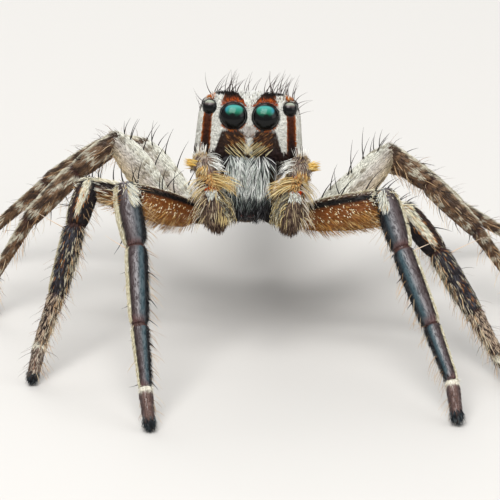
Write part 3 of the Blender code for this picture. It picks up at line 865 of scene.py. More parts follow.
def build_jaws():
    rows = spline(JAW, 44)
    turn = turns(44)
    z, x, y, deep, wide = (rows[:, k, None] for k in range(5))
    jaws = [Surface(HEAD.out(np.stack((side * x + wide * np.cos(turn), y + deep * np.sin(turn),
                                       z + 0 * turn), 2)), tile=(0.5 * k, 0, 0.48, 0.98))
            for k, side in enumerate((-1, 1))]
    join_surfaces("jaws", jaws, GLOSSY, ["chelicera_left", "chelicera_right"],
                  lambda r: flat(r, (24, 19, 21)))
    batches = []
    for jaw in jaws:
        r = jaw.scatter(9000)
        edge = 0.48 + 0.05 * ramp(-1.3, -1.6, r.z) - 0.06 * rng.random(len(r))
        front = (r.facing[:, 1] < -0.15) & (np.abs(r.x) < edge)
        for count, high, low, length, width, colours, shares in JAW_HAIRS:
            q = pick(r, front & (r.z < high) & (r.z > low), count)
            lean = (0.35 - 0.75 * ramp(-1.1, -1.9, q.z)) * q.x
            wander = ruffle(q.root, 0.42, 5) @ HEAD.turn[:, 0]
            down = way(lean + 0.24 * wander + 0.10 * chance(q), -0.05, -1.0)
            down = unit(down - q.normal * (down * q.normal).sum(1, keepdims=True))
            first, last = lying(q, down, 20, 0.12)
            last = last + way(0.22 * chance(q), 0.0, -0.35)
            batches.append(grow(q, first, last, length, width, mixed(len(q), colours, shares), 0.1,
                                steps=4, root_dark=0.42))
    coat_piece("jaw_hair", batches, HAIR)
    fangs = []
    turn = turns(12)
    for side in (-1, 1):
        rows = []
        for s in np.linspace(0, 1, 14):
            bend = math.radians(80 * s)
            centre = (side * (0.20 - 0.17 * math.sin(bend)), -0.05,
                      -2.36 - 0.10 * s + 0.07 * (1 - math.cos(bend)))
            girth = 0.055 * (1 - s) ** 0.7 + 0.004
            rows.append(np.stack((0.3 * girth * np.cos(turn), girth * np.sin(turn),
                                  girth * np.cos(turn)), 1) + centre)
        fangs.append(Surface(HEAD.out(np.array(rows))))
    join_surfaces("fangs", fangs, GLOSSY, [],
                  lambda r: flat(r, (70, 22, 16)))


# ---------------------------------------------------------------- feelers

FEELERS = {
    "left": ((-1.11, -0.34, -1.13), (-0.87, -0.60, -1.80), (-0.62, -0.60, -2.74)),
    "right": ((1.28, -0.34, -1.13), (1.19, -0.60, -1.80), (0.97, -0.60, -2.74)),
}
FEELER_ROOT = (0.74, 0.16, -2.12)


def feeler_surfaces(which):
    """The arm, the knee with the shin, and the tip of one feeler."""
    knee, middle, tip = (np.array(p) for p in FEELERS[which])
    root = np.array(FEELER_ROOT) * (side_of(which), 1, 1)
    made = []

    def add(start, end, stations, tile):
        local = place_along(start, end - start, (0.0, -1.0, 0.0))
        made.append(Surface(HEAD.out(local.out(oval_rows(stations, 30, 24))), tile=tile,
                            place=Place(HEAD.out(local.origin), HEAD.turn @ local.turn),
                            piece=len(made)))

    reach = np.linalg.norm(knee - root)
    add(root, knee, ((-0.02, .05), (0.1, .13), (0.6 * reach, .15), (reach, .15),
                     (reach + 0.12, .04)), (0.0, 0.0, 0.3, 0.3))
    top = knee + (0, 0, 0.16)
    reach = np.linalg.norm(middle - top)
    add(top, middle, ((-0.02, .03), (0.05, .13, .12, .14), (0.22, .18, .16, .20),
                      (0.40, .17, .14, .18), (0.52, .13), (0.64, .15, .14, .16),
                      (reach - 0.04, .14, .13, .15), (reach + 0.04, .08, .08, .09)),
        (0.32, 0.0, 0.3, 0.98))
    reach = np.linalg.norm(tip - middle)
    add(middle, tip, ((-0.06, .05, .05, .06), (0.04, .14, .13, .17), (0.35 * reach, .22, .17, .26),
                      (0.62 * reach, .20, .16, .245), (0.82 * reach, .13, .11, .16),
                      (0.92 * reach, .03, .03, .04)), (0.66, 0.0, 0.32, 0.98))
    return made


def feeler_coat(which, surfaces):
    side = side_of(which)
    arm, shin, tip = surfaces
    batches = []

    def fan(q, out, down, spread):
        """Outward and down in the head frame, by how far the skin there faces each way."""
        locks = ruffle(q.root, 0.22, 3 if side > 0 else 4)
        return (q.normal * out + way(0 * q.u, 0, -down) + locks * spread
                + 0.10 * rng.normal(size=(len(q), 3)))

    def add(q, first, last, length, width, tone, shares=None, steps=3, root_dark=0.7):
        """A lie of three numbers is a fan. Shares draw each hair's tone from several."""
        first, last = (fan(q, *lie) if isinstance(lie, tuple) else lie for lie in (first, last))
        if shares:
            tone = mixed(len(q), tone, shares)
        batches.append(grow(q, first, last, length, width, tone, steps=steps, root_dark=root_dark))

    def facts(r):
        """How far the skin faces to each side, back, and to the middle of the head."""
        facing = HEAD.aim_into(r.normal)
        return facing[:, 0], facing[:, 1], -side * facing[:, 0]

    r = shin.scatter(16000)
    across, back, inward = facts(r)
    v = r.v
    # the knee: mauve-brown with pale hairs, white spikes on top and to the inside
    add(pick(r, v < 0.50, 820), (0.55, 0.8, 0.35), (0.2, 1.0, 0.2), 0.20, 0.020,
        ((146, 124, 110), (206, 192, 174), (96, 76, 68)), (4, 4, 3), root_dark=0.5)
    q = pick(r, v < 0.16, 22)
    add(q, q.normal * 0.4 + way(0, -0.15, 0.9) + 0.35 * rng.normal(size=(len(q), 3)),
        q.normal * 0.4 + way(0, 0.1, 0.5), 0.30, 0.019, (240, 236, 226))
    q = pick(r, (v < 0.42) & (inward > 0.35), 36)
    add(q, way(-side, -0.45, 0.05 + 0.25 * chance(q)),
        way(-side * 0.6, 0.05, -0.9 + 0.22 * chance(q)), 0.42, 0.021, (244, 244, 236),
        steps=5, root_dark=0.8)
    # the yellow tuft outside and the golden skirt under the knee
    q = pick(r, (v > 0.24) & (v < 0.36) & (inward < -0.6), 60)
    out = way(side, -0.35, 0.30 + 0.16 * chance(q))
    add(q, out, out, 0.31, 0.024, ((214, 172, 84), (226, 200, 132)), (2, 1), root_dark=0.85)
    add(pick(r, (v > 0.36) & (v < 0.56) & (inward < 0.35), 300), (0.6, 0.9, 0.3),
        (0.15, 1.1, 0.2), 0.24, 0.023, ((214, 172, 100), (226, 200, 146), (170, 116, 60)),
        (4, 4, 2), root_dark=0.5)
    # the shin: orange in the middle, hairs radiating from it
    q = pick(r, (v > 0.50) & (v < 0.98) & (rng.random(len(r)) > 0.6 * ramp(0.0, 0.5, -inward)), 800)
    ahead, outer = ramp(-0.2, -0.8, facts(q)[1]), ramp(-0.1, 0.5, -facts(q)[2])
    tone = layers(mixed(len(q), ((206, 152, 86), (228, 196, 136), (140, 92, 52)), (4, 4, 2)),
                  ((214, 104, 24), fade(0.5, 0.60, q.v) * ramp(0.0, -0.6, facts(q)[1]) * 0.6),
                  ((120, 92, 78), outer * (rng.random(len(q)) < 0.45)))
    add(q, (0.9, 0.55, 0.35), (0.25, 1.1, 0.25), 0.30 - 0.14 * ahead - 0.10 * outer, 0.020, tone,
        root_dark=0.42)
    add(pick(r, (v > 0.86) & (v < 0.99) & (back < -0.72), 28), (0.8, 0.5, 0.1),
        (0.5, 0.9, 0.1), 0.12, 0.026, (192, 62, 8), steps=2)
    # long golden locks that sweep in over the jaws
    q = pick(r, (v > 0.60) & (v < 0.84) & (inward > 0.1) & (back < 0.3), 62)
    drop = 0.16 * chance(q)
    add(q, way(-side, -0.50, 0.04 + drop), way(-side * 0.78, 0.20, -1.0 + 1.6 * drop),
        0.68, 0.022, ((226, 196, 128), (238, 218, 166), (180, 140, 84)), (4, 4, 2), steps=5)
    # pale hairs outside that hang out and down
    q = pick(r, (v > 0.55) & (inward < -0.1), 56)
    drop = 0.2 * chance(q)
    add(q, way(side * 0.9, -0.25, -0.35 + drop), way(side * 0.25, 0.1, -1.0 + drop),
        0.52, 0.018, ((222, 200, 150), (206, 196, 180)), (3, 2), steps=5)
    # the tip
    r = tip.scatter(16000)
    across, back, inward = facts(r)
    v = r.v
    front = (back < -0.5) & (np.abs(across) < 0.62)
    q = pick(r, v < 0.97, 2600)
    tone = lay(mixed(len(q), ((108, 86, 74), (64, 48, 42), (156, 134, 108)), (4, 4, 3)),
               (66, 46, 34), ramp(0.62, 0.90, q.v) * 0.75)
    add(q, (0.36, 0.9, 0.12), (0.02, 1.0, 0.08), 0.24, 0.020, tone, root_dark=0.5)
    share = np.where(inward > -0.1, 1.0, 0.14) * np.where(front, 0.12, 1.0)
    q = pick(r, (v > 0.08) & (v < 0.62) & (rng.random(len(r)) < share), 340)
    tone = lay(mixed(len(q), ((196, 178, 140), (168, 148, 118), (214, 200, 172)), (4, 3, 2)),
               (216, 190, 124), ramp(-0.1, 0.6, facts(q)[2]) * 0.8)
    add(q, (0.45, 0.9, 0.14), (-0.06, 1.1, 0.10), 0.40, 0.019, tone, steps=4, root_dark=0.55)
    q = pick(r, (v > 0.05) & (v < 0.6) & (inward < -0.3), 40)
    drop = 0.2 * chance(q)
    add(q, way(side * 0.8, -0.1, -0.6 + drop), way(side * 0.1, 0.1, -1.0 + drop),
        0.48, 0.018, ((222, 212, 196), (206, 184, 140)), (3, 2), steps=5)
    q = pick(r, (v > 0.02) & (v < 0.62) & (inward > 0.25), 330)
    drop = 0.16 * chance(q)
    add(q, way(-side, -0.20, -0.30 + drop), way(side * (0.2 + 0.9 * q.v), 0.05, -1.0 + drop),
        0.46, 0.018, ((146, 144, 126), (206, 182, 124), (222, 210, 176), (74, 58, 50)),
        (3, 3, 2, 4), steps=4, root_dark=0.55)
    q = pick(r, (v > 0.12) & (v < 0.32) & front & (np.abs(across) < 0.44)
             & (rng.random(len(r)) < ramp(0.36, 0.18, v)), 150)
    add(q, (0.70, 0.7, 0.14), (0.30, 1.0, 0.12), 0.14, 0.020,
        ((224, 227, 218), (196, 196, 186), (150, 144, 136)), (4, 3, 2), root_dark=0.8)
    # the arm
    r = arm.scatter(700)
    first, last = lying(r, r.along, 30, 0.3)
    add(r, first, last, 0.2, 0.03, BEIGE, steps=2)
    coat_piece(f"feeler_hair_{which}", batches, HAIR)


def build_feelers():
    skins, nodes = [], []
    for which in SIDES:
        surfaces = feeler_surfaces(which)
        skins += surfaces
        nodes += [f"feeler_{which}", f"feeler_tip_{which}"]
        feeler_coat(which, surfaces)
    join_surfaces("feelers", skins, SKIN, nodes,
                  lambda r: flat(r, (58, 38, 30)))


# ---------------------------------------------------------------- legs

# skin of leg 1: rows of (share of the length, back, belly, side), one size where it is round
LEG_SKIN = {
    "femur": ((-0.03, .05), (0.0, .15, .20, .18), (0.06, .21, .29, .23),
              (0.18, .28, .42, .26), (0.45, .32, .50, .29), (0.75, .31, .46, .30),
              (0.90, .28, .36, .28), (1.00, .25, .26, .25), (1.06, .16, .16, .18),
              (1.09, .04, .04, .05)),
    "patella": ((-0.22, .05, .05, .06), (-0.19, .17, .17, .20), (-0.08, .24, .24, .27),
                (0.15, .30, .28, .32), (0.45, .32, .29, .33), (0.75, .30, .28, .31),
                (0.92, .26, .25, .26), (0.985, .225, .215, .215), (1.0, .15),
                (1.01, .05)),
    "tibia": ((-0.03, .08), (-0.02, .17), (0.02, .20),
              (0.05, .235, .235, .24), (0.15, .27, .26, .265), (0.5, .265, .26, .26),
              (0.85, .24, .235, .235), (0.95, .215), (0.99, .19),
              (1.0, .12), (1.01, .05)),
    "metatarsus": ((-0.03, .07), (-0.02, .14), (0.02, .17),
                   (0.06, .20, .20, .205), (0.15, .205, .205, .21), (0.6, .175, .175, .18),
                   (0.92, .155, .155, .16), (1.0, .12), (1.01, .04)),
    "tarsus": ((-0.02, .05), (0.0, .12), (0.08, .155),
               (0.5, .14, .145, .14), (0.85, .125, .125, .13), (0.97, .09, .09, .10),
               (1.0, .03)),
}
# the second legs are slighter near the knee, and the back of the hind femora is arched
SECOND_FEMUR = LEG_SKIN["femur"][:4] + (
    (0.45, .31, .44, .29), (0.75, .29, .35, .29), (0.90, .26, .30, .28), (1.00, .23, .25, .25),
    (1.06, .15, .16, .18), (1.09, .04, .04, .05))
HIND_FEMUR = ((-0.03, .05), (0.0, .11, .20, .18), (0.06, .12, .29, .23), (0.18, .12, .40, .26),
              (0.28, .15, .46, .28), (0.42, .25, .50, .29), (0.60, .335, .48, .30),
              (0.80, .355, .41, .30), (0.92, .30, .32, .28)) + LEG_SKIN["femur"][-3:]
LAST_FEMUR = ((-0.03, .05), (0.0, .14, .20, .18), (0.06, .17, .29, .23), (0.18, .21, .40, .26),
              (0.28, .25, .46, .28), (0.42, .30, .49, .29)) + HIND_FEMUR[6:]
FEMURS = {1: LEG_SKIN["femur"], 2: SECOND_FEMUR, 3: HIND_FEMUR, 4: LAST_FEMUR}
LEG_STOUT = {1: 1.0, 2: 0.90, 3: 0.90, 4: 0.90}


def leg_surfaces(which, number):
    side = side_of(which)
    points = leg_points(which, number)
    knee_turn = unit(np.cross(points[1] - points[0], points[4] - points[1]))
    made = []
    for i, name in enumerate(SEGMENTS):
        ahead = points[i + 1] - points[i]
        length = np.linalg.norm(ahead)
        back = unit(np.cross(knee_turn, ahead))
        if back[2] < 0 and not (abs(back[2]) < 0.2 and back[1] > 0):
            back = -back
        place = place_along(points[i], ahead, back)
        stout = LEG_STOUT[number]
        if number >= 2 and i == 3:
            stout *= 0.88 if number == 2 else 0.76
        if name == "patella" and number > 2:
            stout *= 0.94
        profile = FEMURS[number] if i == 0 else LEG_SKIN[name]
        rows = [((share if share > 0 or number == 1 else share * 0.55) * length,
                 *(girth * stout for girth in girths)) for share, *girths in profile]
        grid = place.out(oval_rows(rows, 44 if i == 0 else 36, 28))
        if name == "tarsus":
            grid[..., 2] = np.maximum(grid[..., 2], SOLE_HEIGHT)
        outer = 1.0 if place.turn[0, 0] * side > 0 else -1.0
        made.append(Surface(grid, tile=(0.2 * i, 0, 0.19, 0.98), place=place, segment=i,
                            leg=number, length=length, outer=outer, side=side))
    return made


def leg_facts(r):
    """The share along the segment, and how far the skin faces up, outward and forward."""
    return r.y / r.length, r.facing[:, 2], r.side * r.normal[:, 0], -r.normal[:, 1]


def leg_marks(r, dice=None):
    """Colours of one segment, from the share along it and the way the skin faces."""
    number, part = int(r.leg[0]), int(r.segment[0])
    t, up, wide, fore = leg_facts(r)
    noise = dice.random(len(r)) if dice is not None else np.full(len(r), 0.5)
    patchy = ruffle(r.root, 0.45, 8)[:, 0]
    if number == 1 and part == 0:
        tone = layers(
            shades(up, ((-1, (166, 116, 62)), (-0.55, (142, 86, 36)), (-0.05, (126, 70, 26)),
                        (0.10, (82, 45, 20)), (0.18, (20, 17, 17)), (0.56, (20, 17, 17)),
                        (0.64, (84, 54, 32)), (0.84, (108, 78, 50)), (0.92, (206, 196, 162)),
                        (1, (214, 204, 172)))),
            ((22, 18, 18), ramp(0.84, 0.93, t) * ramp(-0.75, -0.2, up)),
            ((84, 54, 34), ramp(0.0, -0.5, fore)))
    elif number == 1 and part < 4:
        # the blue and grey bands down the front, palest where they meet, are a painted sheen and a painted
        # highlight, set by the way the skin faces
        painted_blue_sheen, painted_grey_highlight = ((54, 68, 74), (82, 84, 88)) if part == 1 else ((56, 80, 88), (76, 92, 98))
        tone = layers(
            shades(wide, ((-1, (18, 18, 20)), (-0.74, (26, 28, 32)), (-0.50, painted_blue_sheen), (-0.28, painted_grey_highlight),
                          (-0.05, (106, 100, 102)), (0.22, (86, 74, 75)), (0.50, (58, 44, 43)),
                          (0.70, (30, 22, 22)), (0.77, (214, 206, 174)), (1, (210, 200, 166)))),
            ((44, 40, 44), ramp(0.0, -0.5, fore)),
            ((96, 60, 56), ramp(0.86, 0.98, t) * band(wide, -0.6, 0.7, 0.1) * 0.7))
    elif number == 1:
        tone = lay(flat(r, (118, 92, 84)), (70, 60, 62), ramp(0.3, 0.9, np.abs(wide)) * 0.7)
    elif number == 2 and part == 0:
        tone = layers(
            shades(up, ((-1, (150, 104, 58)), (-0.3, (96, 58, 30)), (0.1, (36, 27, 24)),
                        (0.50, (30, 24, 22)), (0.62, (120, 110, 90)), (0.75, (218, 206, 172)),
                        (1, (226, 216, 184)))),
            ((40, 30, 26), (noise < 0.28) * ramp(0.4, 0.7, up)))
    elif number == 2 and part == 1:
        low, high = -0.42 + 0.30 * ramp(0.3, 0.9, t), 0.30 - 0.08 * t
        streak = ramp(-0.06, 0.06, wide - low) * ramp(-0.06, 0.06, high - wide) * ramp(0.93, 0.80, t)
        fringe = ramp(-0.20, -0.08, wide - low) * ramp(-0.20, -0.06, high - wide) * ramp(1.02, 0.9, t)
        tone = layers(
            flat(r, (34, 29, 31)),
            ((60, 44, 42), band(wide, 0.45, 0.85, 0.1)),
            ((190, 124, 62), fringe * (noise > 0.55) * ramp(0.05, 0.3, t)),
            ((226, 220, 200), streak * ramp(-0.1, 0.3, fore) * (noise > 0.12)),
            ((204, 190, 152), ramp(0.88, 0.95, wide)))
    elif number == 2 and part == 2:
        tone = flat(r, (48, 44, 48))
        if dice is not None:
            tone = mixed(len(r), ((40, 36, 39), (70, 66, 72), (96, 96, 104)), (5, 3, 2), dice)
        tone = layers(
            tone,
            ((214, 202, 170), noise > 0.92 - 0.16 * ramp(-0.3, -0.8, wide)),
            ((190, 124, 62), (noise < 0.12) * band(wide, 0.0, 0.6, 0.1)),
            ((204, 190, 152), ramp(0.84, 0.92, wide)))
    elif number == 2 and part == 3:
        tone = layers(flat(r, (86, 68, 62)), ((214, 190, 164), noise > 0.52),
                      ((40, 34, 34), noise < 0.22))
    elif number == 2:
        tone = layers(flat(r, (150, 124, 108)), ((230, 216, 196), noise > 0.62),
                      ((76, 62, 56), noise < 0.25),
                      ((90, 74, 68), ramp(0.2, 0.9, np.abs(wide)) * 0.6))
    elif part == 0:
        tone = layers(
            shades(up, ((-1, (206, 184, 144)), (-0.45, (204, 188, 164)), (0.0, (214, 206, 196)),
                        (0.45, (228, 225, 212)), (0.7, (238, 236, 222)), (1, (240, 238, 224)))),
            ((140, 128, 104), ramp(0.42, 0.75, patchy) * 0.7),
            ((104, 88, 72), band(t, 0.86, 0.93, 0.03) * ramp(0.2, 0.6, fore) * 0.5))
    else:
        tone = layers(
            shades(up, ((-1, (120, 92, 68)), (0.0, (136, 106, 80)), (0.45, (156, 132, 106)),
                        (0.62, (216, 208, 186)), (1, (226, 220, 200)))),
            ((58, 44, 38), ramp(0.25, 0.65, patchy) * 0.8 * ramp(0.95, 0.6, up)),
            ((214, 208, 188), ramp(0.35, 0.75, -patchy) * 0.85 * (noise > 0.2)),
            ((66, 48, 40), (ramp(0.90, 0.97, t) + ramp(0.06, 0.0, t)) * 0.7))
    if part == 4:
        if number > 2:
            tone = lay(tone, (150, 128, 108), 0.6 + 0 * t)
        tone = layers(tone, ((236, 230, 212), band(t, -0.1, 0.13 if number < 3 else 0.06, 0.025)),
                      ((28, 32, 38), ramp(0.76, 0.88, t)))
    if part in (2, 3):
        tone = lay(tone, (80, 52, 46), fade(0.02, 0.045, t) * 0.95)
    return tone


# short coat of each segment: count, length, width, lift
LEG_COAT = {
    1: ((2600, 0.11, 0.017, 10), (900, 0.10, 0.017, 8), (1150, 0.10, 0.017, 8), (750, 0.10, 0.016, 8),
        (600, 0.12, 0.017, 14)),
    2: ((1900, 0.15, 0.022, 12), (1500, 0.18, 0.022, 12), (2300, 0.19, 0.018, 14), (1700, 0.18, 0.018, 16),
        (1000, 0.14, 0.017, 16)),
    3: ((2400, 0.16, 0.028, 10), (1300, 0.15, 0.025, 12), (1700, 0.15, 0.025, 12), (1500, 0.15, 0.023, 14),
        (800, 0.13, 0.020, 14)),
    4: ((2400, 0.16, 0.028, 10), (1200, 0.15, 0.025, 12), (1900, 0.15, 0.025, 12), (1700, 0.15, 0.023, 14),
        (800, 0.13, 0.020, 14)),
}
FAR = 9.0  # past any limit
CREAM_HAIR = ((234, 226, 198), (214, 202, 168), (242, 238, 222))
# hairs that hang below; the last number is the painted shade at their root
FRINGE = ((0.55, 0.8, 0.2), (0.9, 0.5, 0.15), 0.46, 0.014,
          ((214, 178, 134), (186, 146, 106), (230, 206, 170)), (3, 2, 2), 4, 0.7)
BELOW = {"up": (-FAR, -0.25), "height": (0.3, FAR)}

# longer hairs: legs, segments, where they stand, how many (a row gives segment 1 on), how they
# leave the skin, how they end, length, width, colours, shares, steps, painted shade at the root.
# A lie is how far along the leg, out of the skin, unevenly, down and outward it goes.
LEG_HAIRS = (
    ((1, 2), (1, 2, 3), {"wide": (0.72, FAR), "fore": (-0.3, FAR)}, (260, 260, 150),
     (1, 0.35, 0.1), (1,), 0.085, 0.022, CREAM_HAIR, (3, 3, 2), 2, 0.7),
    ((1,), (0,), {"fore": (0.45, FAR), "up": (-0.5, 0.26), "t": (0.08, 0.92)}, 125,
     (1, 0.20, 0.15, 0.9), (1, 0, 0, 0.9), 0.085, 0.027,
     ((248, 238, 206), (234, 210, 156), (206, 160, 90)), (4, 2, 1), 2, 0.9),
    ((1,), (0,), {"fore": (-0.2, FAR), "up": (-FAR, -0.30)}, 380,
     (0.8, 0.40, 0.12, 0.45), (0.8, 0, 0.1, 0.7), (0.30, 0.12), 0.012,
     ((188, 136, 70), (216, 180, 118), (134, 86, 38)), (4, 3, 4), 3, 0.7),
    ((1,), (0,), {"up": (0.84, FAR)}, 320,
     (1, 0.40, 0.15), (1, 0.1), 0.14, 0.019, CREAM_HAIR, (3, 2, 2), 2, 0.7),
    ((1,), (0,), {"up": (0.60, 0.86), "fore": (0, FAR)}, 60,
     (1, 0.30, 0.25), (1, 0, 0.1), 0.09, 0.020, CREAM_HAIR, (1, 1, 3), 2, 0.9),
    ((1,), (0,), {"t": (0.86, FAR), "up": (-0.2, FAR)}, 90,
     (1, 0.5, 0.4), (1, 0, 0.3), 0.20, 0.018, CREAM_HAIR, (2, 1, 3), 3, 0.9),
    ((1,), (1,), {"t": (-0.16, 0.20), "wide": (-0.62, -0.02), "fore": (0.2, FAR)}, 120,
     (0.9, 0.30, 0.12, 0, -0.25), (1, 0, 0.10, 0, -0.35), 0.29, 0.014,
     ((240, 240, 228), (224, 214, 184), (206, 150, 84)), (8, 2, 0.6), 4, 0.7),
    ((1,), (1,), {"t": (-FAR, 0.04), "fore": (-0.3, FAR)}, 60,
     (1, 0.35, 0.35), (1, 0, 0.2), 0.15, 0.018,
     ((240, 234, 214), (222, 200, 150), (60, 44, 38)), (3, 2, 2), 3, 0.7),
    ((2,), (0,), {"up": (0.45, FAR), "fore": (-0.4, FAR)}, 320,
     (1, 0.30, 0.12), (1, 0, 0.08), 0.26, 0.022, CREAM_HAIR, (3, 1, 3), 3, 0.7),
    ((2,), (0,), {"t": (0.6, FAR), "fore": (0.3, FAR), "up": (-FAR, 0.2)}, 60,
     (0.9, 0.2, 0.15), (1, 0, 0.1), 0.32, 0.018, CREAM_HAIR, (1, 1, 3), 3, 0.7),
    ((2,), (0,), {"up": (-FAR, -0.4)}, 260,
     (0.8, 0.6, 0.15), (1, 0, 0, 0.5), 0.30, 0.015,
     ((196, 150, 96), (214, 190, 150)), (1, 1), 3, 0.7),
    ((2,), (1,), {"t": (-0.14, 0.78), "wide": (-FAR, 0.26), "slant": (0, FAR), "fore": (0, FAR)}, 190,
     (1, 0.18, 0.08), (1, 0, 0.05), 0.26, 0.024,
     ((236, 232, 212), (224, 212, 176), (208, 140, 64)), (6, 2, 1), 3, 0.7),
    ((2,), (2, 3), {"wide": (-FAR, -0.35), "fore": (-0.5, FAR)}, 120,
     (1, 0.40, 0.1), (1, 0.15), 0.34, 0.015,
     ((226, 214, 186), (200, 160, 110), (40, 34, 34)), (3, 1, 3), 3, 0.7),
    ((1,), (1, 2, 3), {"wide": (-FAR, -0.72), "fore": (-0.6, FAR)}, 150,
     (0.9, 0.5, 0.12), (1, 0.35), 0.14, 0.014, ((24, 24, 28),), (1,), 2, 0.7),
    ((1, 2), (1, 2, 3, 4), BELOW, (26, 50, 40, 14), *FRINGE),
    ((3, 4), (1, 2, 3, 4), BELOW, 24, *FRINGE),
    ((2, 3, 4), (1, 2, 3, 4), {"height": (0.3, FAR)}, 26,
     (0.45, 0.9, 0.2), (0.8, 0.6), 0.40, 0.010,
     ((96, 60, 40), (150, 106, 76), (40, 30, 28)), (2, 2, 2), 4, 0.7),
    ((1, 2, 3, 4), (4,), {"t": (0.72, FAR)}, 210,
     (1, 0.60, 0.15), (1, 0.55, 0.1), 0.16, 0.015,
     ((28, 32, 36), (62, 72, 78), (112, 118, 118)), (4, 2, 1), 2, 0.7),
)
LEG_SLOTS = {1: "front_leg", 2: "second_leg", 3: "hind_leg", 4: "hind_leg"}


def build_leg(which, number, spines):
    side = side_of(which)
    surfaces = leg_surfaces(which, number)
    name, slot = f"leg{number}_{which}", LEG_SLOTS[number]
    nodes = [f"{name}_{part}" for part in ("femur", "patella", "tibia", "foot")]
    join_surfaces(f"skin_{name}", surfaces, SLATE if number == 1 else SKIN, nodes,
                  lambda r: leg_marks(r) * LEG_SHADE)
    batches = []
    dice = np.random.default_rng(100 * number + (side > 0))

    def lie(q, along, out=0.0, uneven=0.0, down=0.0, outward=0.0):
        aim = along * q.along + out * q.normal + np.array((outward * side, 0.0, -down))
        return aim + uneven * dice.normal(size=(len(q), 3)) if uneven else aim

    for i, surface in enumerate(surfaces):
        r = surface.scatter(9000, dice)
        r = r.where(r.root[:, 2] > LOWEST_HAIR)
        r.t, r.up, r.wide, r.fore = leg_facts(r)
        r.height = r.root[:, 2]
        r.slant = r.wide + 0.36 - 0.3 * np.clip(r.t, 0, 1)
        count, length, width, lift = LEG_COAT[number][i]
        q = pick(r, r.t > -1, count, dice)
        first, last = lying(q, q.along, lift, 0.2, dice)
        smooth = number == 1 and 1 <= i <= 3
        batches.append(grow(q, first, last, length, width, leg_marks(q, dice),
                            0.07 if smooth else 0.15, dice, root_dark=0.9 if smooth else 0.7))
        # root is the painted shade at each hair's root
        for (legs, parts, region, count, first, last, length, width, colours, shares, steps,
             root) in LEG_HAIRS:
            if number not in legs or i not in parts:
                continue
            inside = np.ones(len(r), bool)
            for fact, (low, high) in region.items():
                inside &= (getattr(r, fact) > low) & (getattr(r, fact) < high)
            q = pick(r, inside, count[i - 1] if isinstance(count, tuple) else count, dice)
            if isinstance(length, tuple):
                length = length[0] + length[1] * ramp(0.55, 0.95, q.t)
            first, last = lie(q, *first), lie(q, *last)
            batches.append(grow(q, first, last, length, width, mixed(len(q), colours, shares, dice),
                                0.15, dice, steps=steps, root_dark=root))
        spines.extend(spine_roots(surface, number, i, side, dice))
    coat_piece(f"coat_{name}", batches, HAIR)


def build_claws():
    """Two small hooks at the end of every leg."""
    hooks = []
    turn = turns(8)
    for which, number in LEGS:
        foot = leg_surfaces(which, number)[4]
        for apart in (-0.035, 0.035):
            rows = []
            for s in np.linspace(0, 1, 9):
                bend = 1.5 * s
                girth = 0.018 * (1 - s) ** 0.7 + 0.002
                centre = (apart * (1 + 0.6 * s), foot.facts["length"] - 0.03 + 0.11 * math.sin(bend),
                          0.02 - 0.085 * (1 - math.cos(bend)))
                rows.append(np.stack((girth * np.cos(turn), 0 * turn, girth * np.sin(turn)), 1) + centre)
            hooks.append(Surface(foot.place.out(np.array(rows)), place=foot.place))
    join_surfaces("claws", hooks, GLOSSY, [],
                  lambda r: flat(r, (40, 24, 18)))


# ---------------------------------------------------------------- bristles

# of each segment: share along it, degrees from the outer side up over the back, length
SPINES = {
    0: ((0.28, 88, 0.62), (0.52, 92, 0.66), (0.74, 86, 0.64), (0.88, 58, 0.54), (0.90, 120, 0.50),
        (0.98, 88, 0.46)),
    1: ((0.80, 12, 0.40), (0.60, 100, 0.46)),
    2: ((0.22, -14, 0.34), (0.30, 206, 0.34), (0.62, -22, 0.34), (0.66, 212, 0.34), (0.94, -30, 0.28),
        (0.95, 214, 0.28)),
    3: ((0.20, -20, 0.28), (0.24, 205, 0.28), (0.90, -10, 0.24), (0.90, 190, 0.24)),
}


def spine_roots(surface, number, segment, side, dice):
    """Where the stout dark spines of a segment stand: root, aim, length and girth."""
    found = []
    cols = surface.points.shape[1]
    along = surface.place.into(surface.points).mean(1)[:, 1] / surface.facts["length"]
    for share, degrees, reach in SPINES.get(segment, ()):
        if surface.facts["outer"] < 0:
            degrees = 180 - degrees
        row = int(np.argmin(np.abs(along - share)))
        col = int(round((degrees + 8 * dice.normal()) / 360 * cols)) % cols
        lean = 0.45 if segment == 0 else 0.7
        aim = surface.normal[row, col] + lean * surface.along[row, col] + 0.10 * dice.normal(size=3)
        if segment == 0:
            aim = aim + np.array((0.15 * side, 0.0, 0.5))
        size = reach * (1.0 if number < 3 else 1.15) * (0.85 + 0.3 * dice.random())
        found.append((surface.points[row, col] - 0.03 * surface.normal[row, col], unit(aim), size,
                      0.023 if segment == 0 and number < 3 else 0.018))
    return found


